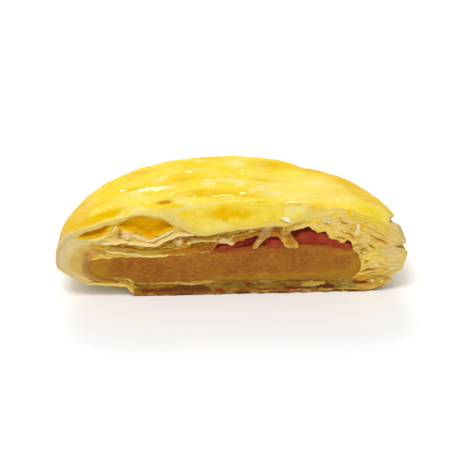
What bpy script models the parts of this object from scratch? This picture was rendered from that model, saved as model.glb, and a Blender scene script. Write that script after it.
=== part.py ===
"""Half of a sun cake: a round flaky pastry with a malt filling, cut through its middle.

Blender 4.5, metres, +Z up. The cut faces -Y. The origin is at the middle of the underside of the half, on the
surface that it rests on. Three solids: the flaky pastry, the malt filling, and the dark red syrup layer that
lies on the filling under a shallow hollow.

Run with: blender --background --python part.py
"""

import math

import bmesh
import bpy
from mathutils import Matrix, Vector

# Driving dimensions of the whole cake
CAKE_RADIUS = 0.0425
CAKE_HEIGHT = 0.0232
EQUATOR_HEIGHT = 0.0105  # level of the widest point of the side
DOME_FALL = 3.0  # exponent on the radius: the top stays level for longer when this is larger
DOME_SHOULDER = 2.8  # root on the height: the shoulder is squarer when this is larger
BASE_RADIUS = 0.0345  # flat underside
SIDE_POWER = 1.4  # the side below the widest point is straighter when this is larger
TURN_STEPS = 88  # segments of the full turn
KNIFE_OFFSET = 0.0004  # the knife passed this far behind the middle of the cake
CUT_Y = -0.5 * (CAKE_RADIUS - KNIFE_OFFSET)  # plane of the cut, which puts the half's box round the origin
AXIS = Vector((0.0, CUT_Y - KNIFE_OFFSET, 0.0))  # foot of the axis that the cake was turned round

# The left end of the underside has risen clear of the tray: a step up, then a gentle slope
LIFT_START = -0.0232
LIFT_END = -0.0262
LIFT_HEIGHT = 0.0026
LIFT_SLOPE = 0.09
FILLING_LIFT = 0.55  # share of the lift that the filling's underside follows

# The dome is a little uneven: (height, waves across the cake in X, in Y, phase)
SWELLS = (
    (0.00030, 0.9, 0.5, 1.9),
    (0.00022, 2.1, -1.2, 0.9),
    (0.00016, 3.3, 2.7, 4.4),
    (0.00010, 5.6, -4.1, 2.0),
)

# The knife pressed the top skin down over the front edge: how far, at places along X
PRESSED = (
    (-0.0240, 0.0),
    (-0.0180, 0.0014),
    (-0.0130, 0.0032),
    (-0.0080, 0.0052),
    (0.0020, 0.0043),
    (0.0105, 0.0029),
    (0.0180, 0.0016),
    (0.0250, 0.0),
)
PRESS_DEPTH = 0.0040  # how far behind the cut the skin begins to bend down
PRESS_CLEAR = 0.0004  # the block that takes the pressed part away stands this far over the rest of the dome
PRESS_CELLS = (22, 6)  # cells of that block along X and Y

# Malt filling: a disc of paste that runs through the cake, thicker to the right of the middle
FILLING_RADIUS = 0.0335
FILLING_OFFSET_X = -0.0018
FILLING_FLOOR = 0.0034
FILLING_TOP = 0.0112
FILLING_EDGE_POWER = 2.8  # roundness of the disc's rim
FILLING_CROWN = 0.0024  # how far the top rises over its thickest place
FILLING_CROWN_X = 0.0130
FILLING_CROWN_WIDTH = 0.0200
FILLING_HALF = 0.5 * (FILLING_TOP - FILLING_FLOOR)
FILLING_MIDDLE = FILLING_FLOOR + FILLING_HALF
FILLING_INNER = FILLING_RADIUS - FILLING_HALF  # radius where the rounded rim begins
FIT_GAP = 0.0003  # clearance between pieces that touch

# Syrup layer and the hollow over it
SYRUP_CENTRE_X = 0.0122
SYRUP_HALF_WIDTH = 0.0168
SYRUP_DEPTH = 0.0150  # how far it runs in behind the cut
SYRUP_THICKNESS = 0.0011
HOLLOW_HEIGHT = 0.0042  # top of the hollow above the filling
HOLLOW_MARGIN = 0.0007  # how much wider the hollow is than the syrup

# Hollows that open at the cut: name, centre X and Z, half sizes in X, Y and Z, tilt about Y in degrees
POCKETS = (
    ("amber_pocket", -0.0200, 0.0190, 0.0064, 0.0060, 0.0024, 3.0),
    ("left_gap", -0.0324, 0.0179, 0.0038, 0.0026, 0.0010, -30.0),
)

# Gaps between leaves that notch the right-hand edge: centre X and Z, half sizes in X, Y and Z, and tilt
NOTCHES = (
    (0.0418, 0.0165, 0.0034, 0.0100, 0.0005, 24.0),
    (0.0435, 0.0120, 0.0036, 0.0095, 0.0007, -6.0),
)

# Grooves between leaves on the cut: name, radius, and points (X, Z) that the groove passes through
GROOVES = (
    (
        "groove_under_lip",
        0.00060,
        ((-0.0395, 0.0143), (-0.0275, 0.0152), (-0.0165, 0.0141), (-0.0060, 0.0167), (0.0080, 0.0187)),
    ),
    (
        "groove_over_filling",
        0.00035,
        ((-0.0370, 0.0128), (-0.0250, 0.0129), (-0.0130, 0.0128), (-0.0060, 0.0137)),
    ),
    (
        "groove_right_outer",
        0.00055,
        ((0.0180, 0.0206), (0.0290, 0.0180), (0.0366, 0.0140), (0.0388, 0.0095), (0.0368, 0.0055)),
    ),
    ("groove_right_inner", 0.00045, ((0.0225, 0.0178), (0.0290, 0.0155), (0.0340, 0.0125), (0.0352, 0.0085))),
    (
        "groove_floor",
        0.00045,
        ((-0.0200, 0.0013), (-0.0060, 0.0016), (0.0080, 0.0013), (0.0200, 0.0017), (0.0310, 0.0019)),
    ),
)
GROOVE_Y = CUT_Y - 0.25 * KNIFE_OFFSET  # just in front of the cut, so that no corner lies in its plane
GROOVE_SIDES = 1  # bevel resolution of a groove
GROOVE_SPACING = 5  # curve points between two of the points above

COLOURS = {  # base colour, roughness
    "flaky_pastry": ((0.93, 0.68, 0.12, 1.0), 0.35),
    "malt_filling": ((0.33, 0.12, 0.02, 1.0), 0.60),
    "syrup_layer": ((0.27, 0.03, 0.012, 1.0), 0.22),
}


def clear_scene():
    for obj in list(bpy.data.objects):
        bpy.data.objects.remove(obj, do_unlink=True)


def new_collection(name):
    made = bpy.data.collections.new(name)
    bpy.context.scene.collection.children.link(made)
    return made


def link_mesh(name, mesh, collection):
    obj = bpy.data.objects.new(name, mesh)
    collection.objects.link(obj)
    return obj


def close_seams(mesh):
    """Joins the mesh's doubled points and turns its faces outwards."""
    bm = bmesh.new()
    bm.from_mesh(mesh)
    bmesh.ops.remove_doubles(bm, verts=bm.verts, dist=1e-6)
    bmesh.ops.recalc_face_normals(bm, faces=bm.faces)
    bm.to_mesh(mesh)
    bm.free()


def smoothstep(value):
    t = min(1.0, max(0.0, value))
    return t * t * (3.0 - 2.0 * t)


def dome_height(radius):
    """Height of the turned top at a radius."""
    share = min(1.0, radius / CAKE_RADIUS)
    rise = CAKE_HEIGHT - EQUATOR_HEIGHT
    return EQUATOR_HEIGHT + rise * (1.0 - share**DOME_FALL) ** (1.0 / DOME_SHOULDER)


def swell(x, y):
    """Uneven rise of the dome, in metres."""
    total = 0.0
    for height, across_x, across_y, phase in SWELLS:
        angle = math.pi * (across_x * x + across_y * y) / CAKE_RADIUS + phase
        total += height * math.sin(angle)
    return total


def pressed(x):
    """How far the skin has been pressed down at the cut, eased between the places given along X."""
    for (before, low), (after, high) in zip(PRESSED, PRESSED[1:]):
        if before <= x <= after:
            return low + (high - low) * smoothstep((x - before) / (after - before))
    return 0.0


def underside_lift(x):
    """How far the underside has risen at the left end."""
    step = LIFT_HEIGHT * smoothstep((x - LIFT_START) / (LIFT_END - LIFT_START))
    return step + LIFT_SLOPE * max(0.0, LIFT_END - x)


def cake_profile():
    """Half outline (radius, height) from the top centre, down the side, to the middle of the underside."""
    top_steps, side_steps, base_steps = 16, 6, 10
    spread = 0.87  # below 1, the rows of the top lie closer together towards the shoulder
    points = []
    for i in range(top_steps + 1):
        turn = 0.5 * math.pi * i / top_steps
        radius = CAKE_RADIUS * math.sin(turn) ** spread
        points.append((radius, dome_height(radius)))
    for i in range(1, side_steps + 1):
        turn = 0.5 * math.pi * i / side_steps
        radius = BASE_RADIUS + (CAKE_RADIUS - BASE_RADIUS) * max(0.0, math.cos(turn)) ** SIDE_POWER
        points.append((radius, EQUATOR_HEIGHT * (1.0 - math.sin(turn))))
    for i in range(base_steps - 1, -1, -1):
        points.append((BASE_RADIUS * i / base_steps, 0.0))
    return points


def turned(name, profile, centre, collection):
    """A closed solid turned round a vertical axis by the Screw modifier, made a mesh of its own."""
    mesh = bpy.data.meshes.new(name)
    turn = math.pi / TURN_STEPS  # half a step, so that no edge lies in the plane of the cut
    rows = [(radius * math.cos(turn), radius * math.sin(turn), height) for radius, height in profile]
    mesh.from_pydata(rows, [(i, i + 1) for i in range(len(rows) - 1)], [])
    guide = link_mesh(name + "_guide", mesh, collection)
    screw = guide.modifiers.new("turn", "SCREW")
    screw.steps = TURN_STEPS
    screw.render_steps = TURN_STEPS
    screw.use_merge_vertices = True
    screw.merge_threshold = 1e-5
    graph = bpy.context.evaluated_depsgraph_get()
    solid = bpy.data.meshes.new_from_object(guide.evaluated_get(graph))
    bpy.data.objects.remove(guide)
    close_seams(solid)
    solid.transform(Matrix.Translation(centre))
    return link_mesh(name, solid, collection)


def reshape(obj, move):
    """Moves each vertex of the object's mesh to move(co)."""
    for vertex in obj.data.vertices:
        vertex.co = move(vertex.co)


def cut(obj, other):
    """Takes the other solid away from the object's mesh for good, and keeps the other one as a wire guide."""
    modifier = obj.modifiers.new(other.name, "BOOLEAN")
    modifier.operation = "DIFFERENCE"
    modifier.solver = "EXACT"
    modifier.object = other
    graph = bpy.context.evaluated_depsgraph_get()
    before, after = obj.data, bpy.data.meshes.new_from_object(obj.evaluated_get(graph))
    obj.modifiers.remove(modifier)
    obj.data = after
    bpy.data.meshes.remove(before)
    bm = bmesh.new()
    bm.from_mesh(after)
    bmesh.ops.dissolve_degenerate(bm, dist=1e-6, edges=bm.edges)
    bmesh.ops.triangulate(bm, faces=bm.faces)
    bm.to_mesh(after)
    bm.free()
    other.hide_render = True
    other.display_type = "WIRE"


def cutting_block(name, size, centre, collection):
    """A box of the given size round a centre."""
    mesh = bpy.data.meshes.new(name)
    bm = bmesh.new()
    bmesh.ops.create_cube(bm, size=1.0)
    for vertex in bm.verts:
        vertex.co = Vector(a * b for a, b in zip(vertex.co, size)) + Vector(centre)
    bm.to_mesh(mesh)
    bm.free()
    return link_mesh(name, mesh, collection)


def lens(name, x, z, half_sizes, tilt, collection):
    """A flattened sphere centred on the cut plane, tilted about Y."""
    mesh = bpy.data.meshes.new(name)
    bm = bmesh.new()
    bmesh.ops.create_uvsphere(bm, u_segments=20, v_segments=10, radius=1.0)
    bmesh.ops.scale(bm, vec=Vector(half_sizes), verts=bm.verts)
    bm.to_mesh(mesh)
    bm.free()
    obj = link_mesh(name, mesh, collection)
    obj.location = (x, CUT_Y - KNIFE_OFFSET, z)
    obj.rotation_euler = (0.0, math.radians(tilt), 0.0)
    return obj


def through(points, share):
    """A point on the smooth curve through the given points, at a share of the way along it."""
    at = share * (len(points) - 1)
    i = min(int(at), len(points) - 2)
    t = at - i
    a, b = points[i], points[i + 1]
    before = points[i - 1] if i else a
    after = points[i + 2] if i + 2 < len(points) else b
    found = []
    for p0, p1, p2, p3 in zip(before, a, b, after):
        bend = 2 * p0 - 5 * p1 + 4 * p2 - p3
        turn = 3 * p1 - p0 - 3 * p2 + p3
        found.append(p1 + 0.5 * t * (p2 - p0 + t * (bend + t * turn)))
    return found


def groove(name, radius, points, collection):
    """A round rod along a smooth curve through the points (X, Z), half sunk in the face of the cut."""
    curve = bpy.data.curves.new(name, "CURVE")
    curve.dimensions = "3D"
    curve.bevel_depth = radius
    curve.bevel_resolution = GROOVE_SIDES
    curve.use_fill_caps = True
    count = GROOVE_SPACING * (len(points) - 1) + 1
    spline = curve.splines.new("POLY")
    spline.points.add(count - 1)
    for i, point in enumerate(spline.points):
        x, z = through(points, i / (count - 1))
        point.co = (x, GROOVE_Y, z, 1.0)
    guide = bpy.data.objects.new(name + "_guide", curve)
    collection.objects.link(guide)
    graph = bpy.context.evaluated_depsgraph_get()
    mesh = bpy.data.meshes.new_from_object(guide.evaluated_get(graph))
    bpy.data.objects.remove(guide)
    close_seams(mesh)
    return link_mesh(name, mesh, collection)


def filling_crown(x, y):
    """Extra height of the filling's top, which fades towards the rim."""
    across = (x - FILLING_CROWN_X) / FILLING_CROWN_WIDTH
    behind = (y - CUT_Y) / FILLING_CROWN_WIDTH
    return FILLING_CROWN * math.exp(-(across**2) - 0.5 * behind**2)


def filling_solid(name, grow, collection):
    """The whole disc of filling, larger all round by grow. The cavity uses the same shape."""
    steps = 16
    profile = [(0.0, FILLING_MIDDLE + FILLING_HALF + grow)]
    for i in range(steps + 1):
        turn = math.pi * (0.5 - i / steps)
        bulge = max(0.0, math.cos(turn)) ** (2.0 / FILLING_EDGE_POWER)
        flat = math.copysign(abs(math.sin(turn)) ** (2.0 / FILLING_EDGE_POWER), math.sin(turn))
        radius = FILLING_INNER + (FILLING_HALF + grow) * bulge
        profile.append((radius, FILLING_MIDDLE + (FILLING_HALF + grow) * flat))
    profile.append((0.0, FILLING_MIDDLE - FILLING_HALF - grow))
    disc = turned(name, profile, AXIS + Vector((FILLING_OFFSET_X, 0.0, 0.0)), collection)

    def uneven(co):
        above = smoothstep((co.z - FILLING_MIDDLE) / FILLING_HALF) * filling_crown(co.x, co.y)
        below = smoothstep((FILLING_MIDDLE - co.z) / FILLING_HALF) * FILLING_LIFT * underside_lift(co.x)
        return co + Vector((0.0, 0.0, above + below))

    reshape(disc, uneven)
    return disc


def filling_top(x, y):
    """Level of the filling's top surface, which falls away round its rim."""
    out = math.hypot(x - FILLING_OFFSET_X, y - AXIS.y) - FILLING_INNER
    share = min(1.0, max(0.0, out / FILLING_HALF))
    flat = (1.0 - share**FILLING_EDGE_POWER) ** (1.0 / FILLING_EDGE_POWER)
    return FILLING_MIDDLE + FILLING_HALF * flat + smoothstep(flat) * filling_crown(x, y)


def laid_on_filling(name, half_width, depth, thickness, collection):
    """A lens in plan that follows the filling's top, as thick above it as below, with a thin rounded rim."""
    mesh = bpy.data.meshes.new(name)
    bm = bmesh.new()
    bmesh.ops.create_uvsphere(bm, u_segments=36, v_segments=12, radius=1.0)
    for vertex in bm.verts:
        x = SYRUP_CENTRE_X + half_width * vertex.co.x
        y = AXIS.y + depth * vertex.co.y
        vertex.co = (x, y, filling_top(x, y) + thickness * vertex.co.z)
    bm.to_mesh(mesh)
    bm.free()
    return link_mesh(name, mesh, collection)


def half_block(collection):
    """The block that takes away the eaten half, in front of the cut."""
    size = 4.0 * CAKE_RADIUS
    return cutting_block("eaten_half", (size, size, size), (0.0, CUT_Y - 0.5 * size, 0.0), collection)


def subdivide_along(bm, axis, cells):
    """Divides the edges that run along an axis (0 for X, 1 for Y) into cells."""
    edges = []
    for edge in bm.edges:
        run = edge.verts[1].co - edge.verts[0].co
        if abs(run[axis]) > 0.5 * run.length:
            edges.append(edge)
    bmesh.ops.subdivide_edges(bm, edges=edges, cuts=cells - 1, use_grid_fill=True)


def pressed_block(collection):
    """The block over the front edge whose underside is the top skin as the knife pressed it down."""
    start, end = PRESSED[0][0], PRESSED[-1][0]
    front, back = CUT_Y - PRESS_CLEAR, CUT_Y + PRESS_DEPTH
    size = (end - start, back - front, CAKE_HEIGHT)
    middle = (0.5 * (start + end), 0.5 * (front + back), CAKE_HEIGHT)
    block = cutting_block("pressed_away", size, middle, collection)
    bm = bmesh.new()
    bm.from_mesh(block.data)
    for axis, cells in enumerate(PRESS_CELLS):
        subdivide_along(bm, axis, cells)
    for vertex in bm.verts:
        x, y, z = vertex.co
        if z < CAKE_HEIGHT:
            dome = dome_height(math.hypot(x, y - AXIS.y)) + swell(x, y)
            share = smoothstep((back - y) / PRESS_DEPTH)
            vertex.co.z = dome + PRESS_CLEAR - (PRESS_CLEAR + pressed(x)) * share
    bm.to_mesh(block.data)
    bm.free()
    return block


def build_pastry(parts, cutters, front):
    pastry = turned("flaky_pastry", cake_profile(), AXIS, parts)

    def uneven(co):
        rise = smoothstep((co.z - EQUATOR_HEIGHT) / (CAKE_HEIGHT - EQUATOR_HEIGHT)) * swell(co.x, co.y)
        low = 1.0 - smoothstep(co.z / EQUATOR_HEIGHT)
        return co + Vector((0.0, 0.0, rise + low * underside_lift(co.x)))

    reshape(pastry, uneven)
    cut(pastry, front)
    cut(pastry, pressed_block(cutters))
    cut(pastry, filling_solid("filling_cavity", FIT_GAP, cutters))
    hollow = laid_on_filling(
        "syrup_hollow",
        SYRUP_HALF_WIDTH + HOLLOW_MARGIN,
        SYRUP_DEPTH + HOLLOW_MARGIN,
        HOLLOW_HEIGHT,
        cutters,
    )
    cut(pastry, hollow)
    for name, x, z, *half_sizes, tilt in POCKETS:
        cut(pastry, lens(name, x, z, half_sizes, tilt, cutters))
    for i, (x, z, *half_sizes, tilt) in enumerate(NOTCHES):
        cut(pastry, lens(f"edge_notch_{i}", x, z, half_sizes, tilt, cutters))
    for name, radius, points in GROOVES:
        cut(pastry, groove(name, radius, points, cutters))
    return pastry


def build_filling(parts, front):
    filling = filling_solid("malt_filling", 0.0, parts)
    cut(filling, front)
    return filling


def build_syrup(parts, cutters, front):
    syrup = laid_on_filling("syrup_layer", SYRUP_HALF_WIDTH, SYRUP_DEPTH, SYRUP_THICKNESS, parts)
    cut(syrup, filling_solid("syrup_seat", FIT_GAP, cutters))
    cut(syrup, front)
    return syrup


def dress(obj):
    """Gives the piece its own material and smooth shading with sharp edges kept."""
    colour, roughness = COLOURS[obj.name]
    material = bpy.data.materials.new(obj.name)
    material.use_nodes = True
    shader = material.node_tree.nodes["Principled BSDF"]
    shader.inputs["Base Color"].default_value = colour
    shader.inputs["Roughness"].default_value = roughness
    shader.inputs["Metallic"].default_value = 0.0
    material.diffuse_color = colour
    obj.data.materials.clear()
    obj.data.materials.append(material)
    obj.data.shade_smooth()
    obj.data.set_sharp_from_angle(angle=math.radians(35))


def main():
    clear_scene()
    parts = new_collection("sun_cake_half")
    cutters = new_collection("cutters")
    front = half_block(cutters)
    for piece in (
        build_pastry(parts, cutters, front),
        build_filling(parts, front),
        build_syrup(parts, cutters, front),
    ):
        dress(piece)


main()
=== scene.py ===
"""Half of a sun cake, cut through its middle: a glossy flaky pastry round a brown malt filling.

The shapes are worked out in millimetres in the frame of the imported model, and become metres in each mesh.
The cut faces -Y. Every visible surface is a grid of points that numpy computes as whole arrays.
"""

import logging
import math
from dataclasses import dataclass, field
from enum import Enum, IntEnum

import bpy
import numpy as np
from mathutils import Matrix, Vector


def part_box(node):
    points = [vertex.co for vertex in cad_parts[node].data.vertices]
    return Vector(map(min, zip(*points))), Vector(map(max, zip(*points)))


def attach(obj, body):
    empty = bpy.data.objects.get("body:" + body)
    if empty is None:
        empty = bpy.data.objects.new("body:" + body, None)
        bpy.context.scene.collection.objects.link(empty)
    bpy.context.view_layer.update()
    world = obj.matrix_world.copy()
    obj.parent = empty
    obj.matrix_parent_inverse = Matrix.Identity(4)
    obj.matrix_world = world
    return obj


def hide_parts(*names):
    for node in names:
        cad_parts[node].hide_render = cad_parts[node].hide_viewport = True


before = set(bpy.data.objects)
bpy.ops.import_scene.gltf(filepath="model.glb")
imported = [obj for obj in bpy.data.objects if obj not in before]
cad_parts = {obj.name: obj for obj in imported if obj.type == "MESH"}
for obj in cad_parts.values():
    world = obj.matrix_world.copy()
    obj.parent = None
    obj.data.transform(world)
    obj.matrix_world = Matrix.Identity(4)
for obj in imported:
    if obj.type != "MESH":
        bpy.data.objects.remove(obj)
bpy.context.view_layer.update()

MM = 0.001
LOG = logging.getLogger("sun_cake")
Array = np.ndarray
Material = bpy.types.Material
Points = np.ndarray  # places, with X, Y and Z in the last axis
Colour = tuple[float, float, float, float]
Marks = dict[str, Array]  # for each attribute, a number for each point
Triple = tuple[float, float, float]
Line = tuple[tuple[float, ...], ...]  # places, as (x, z), (x, value) or with more numbers

CUT_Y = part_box("malt_filling")[0].y / MM  # plane of the cut
SIGHT_RISE = math.tan(math.radians(30))  # the photograph's view sees a point set back by 1 this much higher
STUDIO_LIGHT = 1.2  # how much brighter than white paper the studio's light makes what faces it


class Seed(IntEnum):
    """Which random numbers each thing takes."""

    BROW_HEIGHT = 5
    BROW_PLACE = 6
    FRAY = 7
    DOUGH_EDGE = 8
    DOUGH_CRUMBS = 9
    CRUST = 11
    TORN_EDGE = 12
    LIP = 13
    GLAZE = 14
    SHEETS = 16
    CUT = 21
    FILLING = 31
    SYRUP = 41
    DRIPS = 42
    SHARDS = 51
    LEAVES = 100
    FLAKES = 200


class Slot(Enum):
    """The record's material slots."""

    PASTRY = "pastry"
    FILLING = "filling"
    SYRUP = "syrup"


class Tone(Enum):
    """How a leaf of dough is baked: (edge, upper surface, painted shade deep in the gap under it), each as 0
    to 255.
    """

    GOLD = ((250, 226, 108), (246, 212, 70), (232, 184, 44))
    CREAM = ((248, 224, 132), (243, 212, 108), (236, 184, 82))
    PALE = ((247, 224, 152), (243, 214, 134), (238, 190, 100))
    WHITE = ((255, 252, 228), (255, 248, 210), (255, 240, 180))
    # mustard: a colour of the dough near the bottom, and painted shadow on leaves under the skin's lip
    MUSTARD = ((208, 166, 62), (190, 138, 30), (158, 102, 16))
    # painted shadow: the flakes in the shade under the skin's lip
    AMBER = ((222, 172, 50), (206, 144, 18), (170, 108, 12))


# ---- Numbers over space ----


def smoothstep(value: Array) -> Array:
    """Eases from 0 to 1 as the value goes from 0 to 1: 3t^2 - 2t^3."""
    t = np.clip(value, 0, 1)
    return t * t * (3 - 2 * t)


def step_up(value: Array, start: float, width: float) -> Array:
    """0 up to start, 1 from start + width on, and eased between them."""
    return smoothstep((value - start) / width)


def step_down(value: Array, end: float, width: float) -> Array:
    """1 up to end - width, 0 from end on, and eased between them."""
    return smoothstep((end - value) / width)


def near(distance: Array, reach: float) -> Array:
    """1 at no distance and 0 from reach on, eased between them."""
    return smoothstep(1 - distance / reach)


def unit(value: Array) -> Array:
    """The value, kept from 0 to 1."""
    return np.clip(value, 0, 1)


def blend(start: Array, end: Array, share: Array) -> Array:
    """Goes straight from start to end by a share from 0 to 1."""
    return start + (end - start) * share


def bell(distance: Array, width: float) -> Array:
    """A bump of height 1: exp(-(distance / width)^2)."""
    return np.exp(-((distance / width) ** 2))


def eased(places: Line, x: Array) -> Array:
    """The value at x between (x, value) places: it stays level at each place and is eased between two.

    Args:
        places: (x, value), in order of x
        x: where the value is wanted

    Returns:
        A number for each x.
    """
    given = np.array(places, float)
    i = np.clip(np.searchsorted(given[:, 0], x) - 1, 0, len(given) - 2)
    share = (x - given[i, 0]) / (given[i + 1, 0] - given[i, 0])
    return blend(given[i, 1], given[i + 1, 1], smoothstep(share))


def course(places: Line, x: Array) -> Array:
    """The height at x of a smooth line through (x, height) places, level past both ends.

    Between two places it is the cubic that has their heights and, at each, the slope between its neighbours.

    Args:
        places: (x, height), in order of x
        x: where the height is wanted

    Returns:
        A number for each x.
    """
    given = np.array(places, float)
    slopes = np.gradient(given[:, 1], given[:, 0])
    i = np.clip(np.searchsorted(given[:, 0], x) - 1, 0, len(given) - 2)
    width = given[i + 1, 0] - given[i, 0]
    t = unit((x - given[i, 0]) / width)
    start = (1 + 2 * t) * (1 - t) ** 2 * given[i, 1] + t * (1 - t) ** 2 * width * slopes[i]
    end = t * t * (3 - 2 * t) * given[i + 1, 1] + t * t * (t - 1) * width * slopes[i + 1]
    return start + end


@dataclass(frozen=True)
class Noise:
    """Smooth gradient noise in space, the same on every run."""

    seed: int

    def at(self, points: Points, size: float | Triple, octaves: int = 1) -> Array:
        """Noise of about -1 to 1 at each point.

        Each corner of a lattice of cubes has a random slope, and a point takes the slopes of the corners
        round it, eased by 6t^5 - 15t^4 + 10t^3. Each further octave is half as large and half as strong.

        Args:
            points: places, with X, Y and Z in the last axis
            size: width of a lump, the same unit as the points, or one width for each axis
            octaves: how many scales are added up

        Returns:
            One number for each point.
        """
        rng = np.random.default_rng(self.seed)
        order = rng.permutation(256)
        slopes = rng.normal(size=(256, 3))
        slopes /= np.linalg.norm(slopes, axis=1, keepdims=True)
        total = np.zeros(points.shape[:-1])
        at = points / np.asarray(size) + 100
        strength = 1
        for _ in range(octaves):
            corner = np.floor(at).astype(int)
            inside = at - corner
            ease = inside**3 * (inside * (inside * 6 - 15) + 10)
            for shift in np.ndindex(2, 2, 2):
                i, j, k = ((corner[..., axis] + shift[axis]) & 255 for axis in range(3))
                slope = slopes[order[(order[(order[i] + j) & 255] + k) & 255]]
                away = inside - np.array(shift)
                share = np.prod(np.where(np.array(shift) == 1, ease, 1 - ease), axis=-1)
                total += strength * share * np.sum(slope * away, axis=-1)
            at = at * 2 + 31.7
            strength *= 0.5
        return total * 1.6


def stacked(*values: Array) -> Array:
    """Puts arrays side by side, as the numbers of a new last axis."""
    return np.stack(values, axis=-1)


def along(points: Points) -> Array:
    """Length along an open line of points, 0 at its start."""
    steps = np.linalg.norm(np.diff(points, axis=0), axis=1)
    return np.concatenate([[0], np.cumsum(steps)])


def smooth_path(points: Line, count: int) -> Points:
    """Evenly spaced points on the Catmull-Rom curve through the given ones.

    Between two points the curve is a cubic whose slope at each is half the step between its neighbours.

    Args:
        points: places that the curve passes through, (x, z) or with more numbers
        count: how many points to return

    Returns:
        An array of count rows.
    """
    given = np.array(points, float)
    ends = np.vstack([2 * given[0] - given[1], given, 2 * given[-1] - given[-2]])
    fine = 40
    share = np.linspace(0, len(given) - 1, fine * (len(given) - 1) + 1)
    i = np.minimum(share.astype(int), len(given) - 2)
    t = (share - i)[:, None]
    before, a, b, after = ends[i], ends[i + 1], ends[i + 2], ends[i + 3]
    bend = 2 * before - 5 * a + 4 * b - after
    turn = 3 * a - before - 3 * b + after
    curve = a + 0.5 * t * (b - before + t * (bend + t * turn))
    length = along(curve)
    even = np.linspace(0, length[-1], count)
    return stacked(*(np.interp(even, length, values) for values in curve.T))


# ---- Meshes ----


@dataclass
class Skin:
    """Closed shells that become one mesh object: rings of points between two poles, or a ring of rings."""

    name: str
    points: list[Points] = field(default_factory=list)
    quads: list[Array] = field(default_factory=list)
    triangles: list[Array] = field(default_factory=list)
    marks: dict[str, list[Array]] = field(default_factory=dict)
    size: int = 0

    def _add(self, points: Points, quads: Array, triangles: Array, marks: Marks) -> None:
        """Takes in one shell, and turns it round if its signed volume shows that its faces point inwards.

        Args:
            points: places in millimetres
            quads: four point numbers for each face
            triangles: three point numbers for each face
            marks: for each attribute, a number for each point
        """
        fans = np.concatenate([quads[:, :3], quads[:, [0, 2, 3]], triangles])
        a, b, c = (points[fans[:, k]] for k in range(3))
        if np.sum(a * np.cross(b, c)) < 0:
            quads, triangles = quads[:, ::-1], triangles[:, ::-1]
        self.points.append(points)
        self.quads.append(quads + self.size)
        self.triangles.append(triangles + self.size)
        for key, values in marks.items():
            self.marks.setdefault(key, []).append(values)
        self.size += len(points)

    def ringed(self, rings: Points, marks: Marks | None = None, folded: bool = False) -> None:
        """Adds a shell of closed rings.

        The first ring is shut by a pole in its middle. So is the last one, unless it is folded: its point j
        then lies on its point round_ - j, and the two sides are sewn together there.

        Args:
            rings: points as (ring, place round the ring, 3), in millimetres
            marks: for each attribute, a number for each point of the rings
            folded: whether the last ring is a seam
        """
        count, round_ = rings.shape[:2]
        index = np.arange(count * round_).reshape(count, round_)
        kept = count * round_
        j = np.arange(round_)
        if folded:
            index[-1] = index[-1, 0] + np.minimum(j, round_ - j)
            kept = index[-1].max() + 1
        after = np.roll(index, -1, axis=1)
        quads = stacked(index[:-1], after[:-1], after[1:], index[1:]).reshape(-1, 4)
        fans = [stacked(np.full(round_, kept), after[0], index[0])]
        poles = [rings[0].mean(axis=0)]
        if not folded:
            fans.append(stacked(np.full(round_, kept + 1), index[-1], after[-1]))
            poles.append(rings[-1].mean(axis=0))
        points = np.concatenate([rings.reshape(-1, 3)[:kept], np.stack(poles)])
        flat = {}
        for key, values in (marks or {}).items():
            ends = [values[0].mean(), values[-1].mean()][: len(poles)]
            flat[key] = np.concatenate([values.reshape(-1)[:kept], ends])
        self._add(points, quads, np.concatenate(fans), flat)

    def looped(self, rings: Points, marks: Marks | None = None) -> None:
        """Adds a shell whose rings also follow each other round, as on a doughnut.

        Args:
            rings: points as (ring, place round the ring, 3), in millimetres
            marks: for each attribute, a number for each point of the rings
        """
        count, round_ = rings.shape[:2]
        i, j = np.meshgrid(np.arange(count), np.arange(round_), indexing="ij")
        below, after = (i + 1) % count, (j + 1) % round_
        corners = (i * round_ + j, i * round_ + after, below * round_ + after, below * round_ + j)
        quads = stacked(*corners).reshape(-1, 4)
        flat = {key: values.reshape(-1) for key, values in (marks or {}).items()}
        self._add(rings.reshape(-1, 3), quads, np.zeros((0, 3), int), flat)

    def made(self, material: Material, slot: Slot, *stands_for: str) -> None:
        """Turns the shells into one smooth object on the cake's body, at the origin.

        Args:
            material: its finish
            slot: not used
            stands_for: CAD nodes that it replaces
        """
        points = np.concatenate(self.points) * MM
        quads, triangles = np.concatenate(self.quads), np.concatenate(self.triangles)
        mesh = bpy.data.meshes.new(self.name)
        mesh.vertices.add(len(points))
        mesh.vertices.foreach_set("co", points.astype(np.float32).ravel())
        mesh.loops.add(quads.size + triangles.size)
        corners = np.concatenate([quads.ravel(), triangles.ravel()])
        mesh.loops.foreach_set("vertex_index", corners.astype(np.int32))
        mesh.polygons.add(len(quads) + len(triangles))
        four, three = np.arange(len(quads)) * 4, quads.size + np.arange(len(triangles)) * 3
        mesh.polygons.foreach_set("loop_start", np.concatenate([four, three]).astype(np.int32))
        mesh.update(calc_edges=True)
        for key, values in self.marks.items():
            mark = mesh.attributes.new(key, "FLOAT", "POINT")
            mark.data.foreach_set("value", np.concatenate(values).astype(np.float32))
        mesh.validate()
        mesh.shade_smooth()
        mesh.materials.append(material)
        obj = bpy.data.objects.new(self.name, mesh)
        bpy.context.scene.collection.objects.link(obj)
        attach(obj, "root")
        if stands_for:
            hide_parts(*stands_for)
        LOG.info("%s: %d points, %d faces", self.name, len(points), len(mesh.polygons))


# ---- Finishes ----


def tint(red: float, green: float, blue: float) -> Colour:
    """A colour as it should look on screen in the studio, in the shaders' linear numbers.

    Args:
        red: 0 to 255
        green: 0 to 255
        blue: 0 to 255

    Returns:
        (red, green, blue, 1).
    """
    shown = [c / 255 for c in (red, green, blue)]
    linear = [c / 12.92 if c <= 0.04045 else ((c + 0.055) / 1.055) ** 2.4 for c in shown]
    return (linear[0] / STUDIO_LIGHT, linear[1] / STUDIO_LIGHT, linear[2] / STUDIO_LIGHT, 1)


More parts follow.
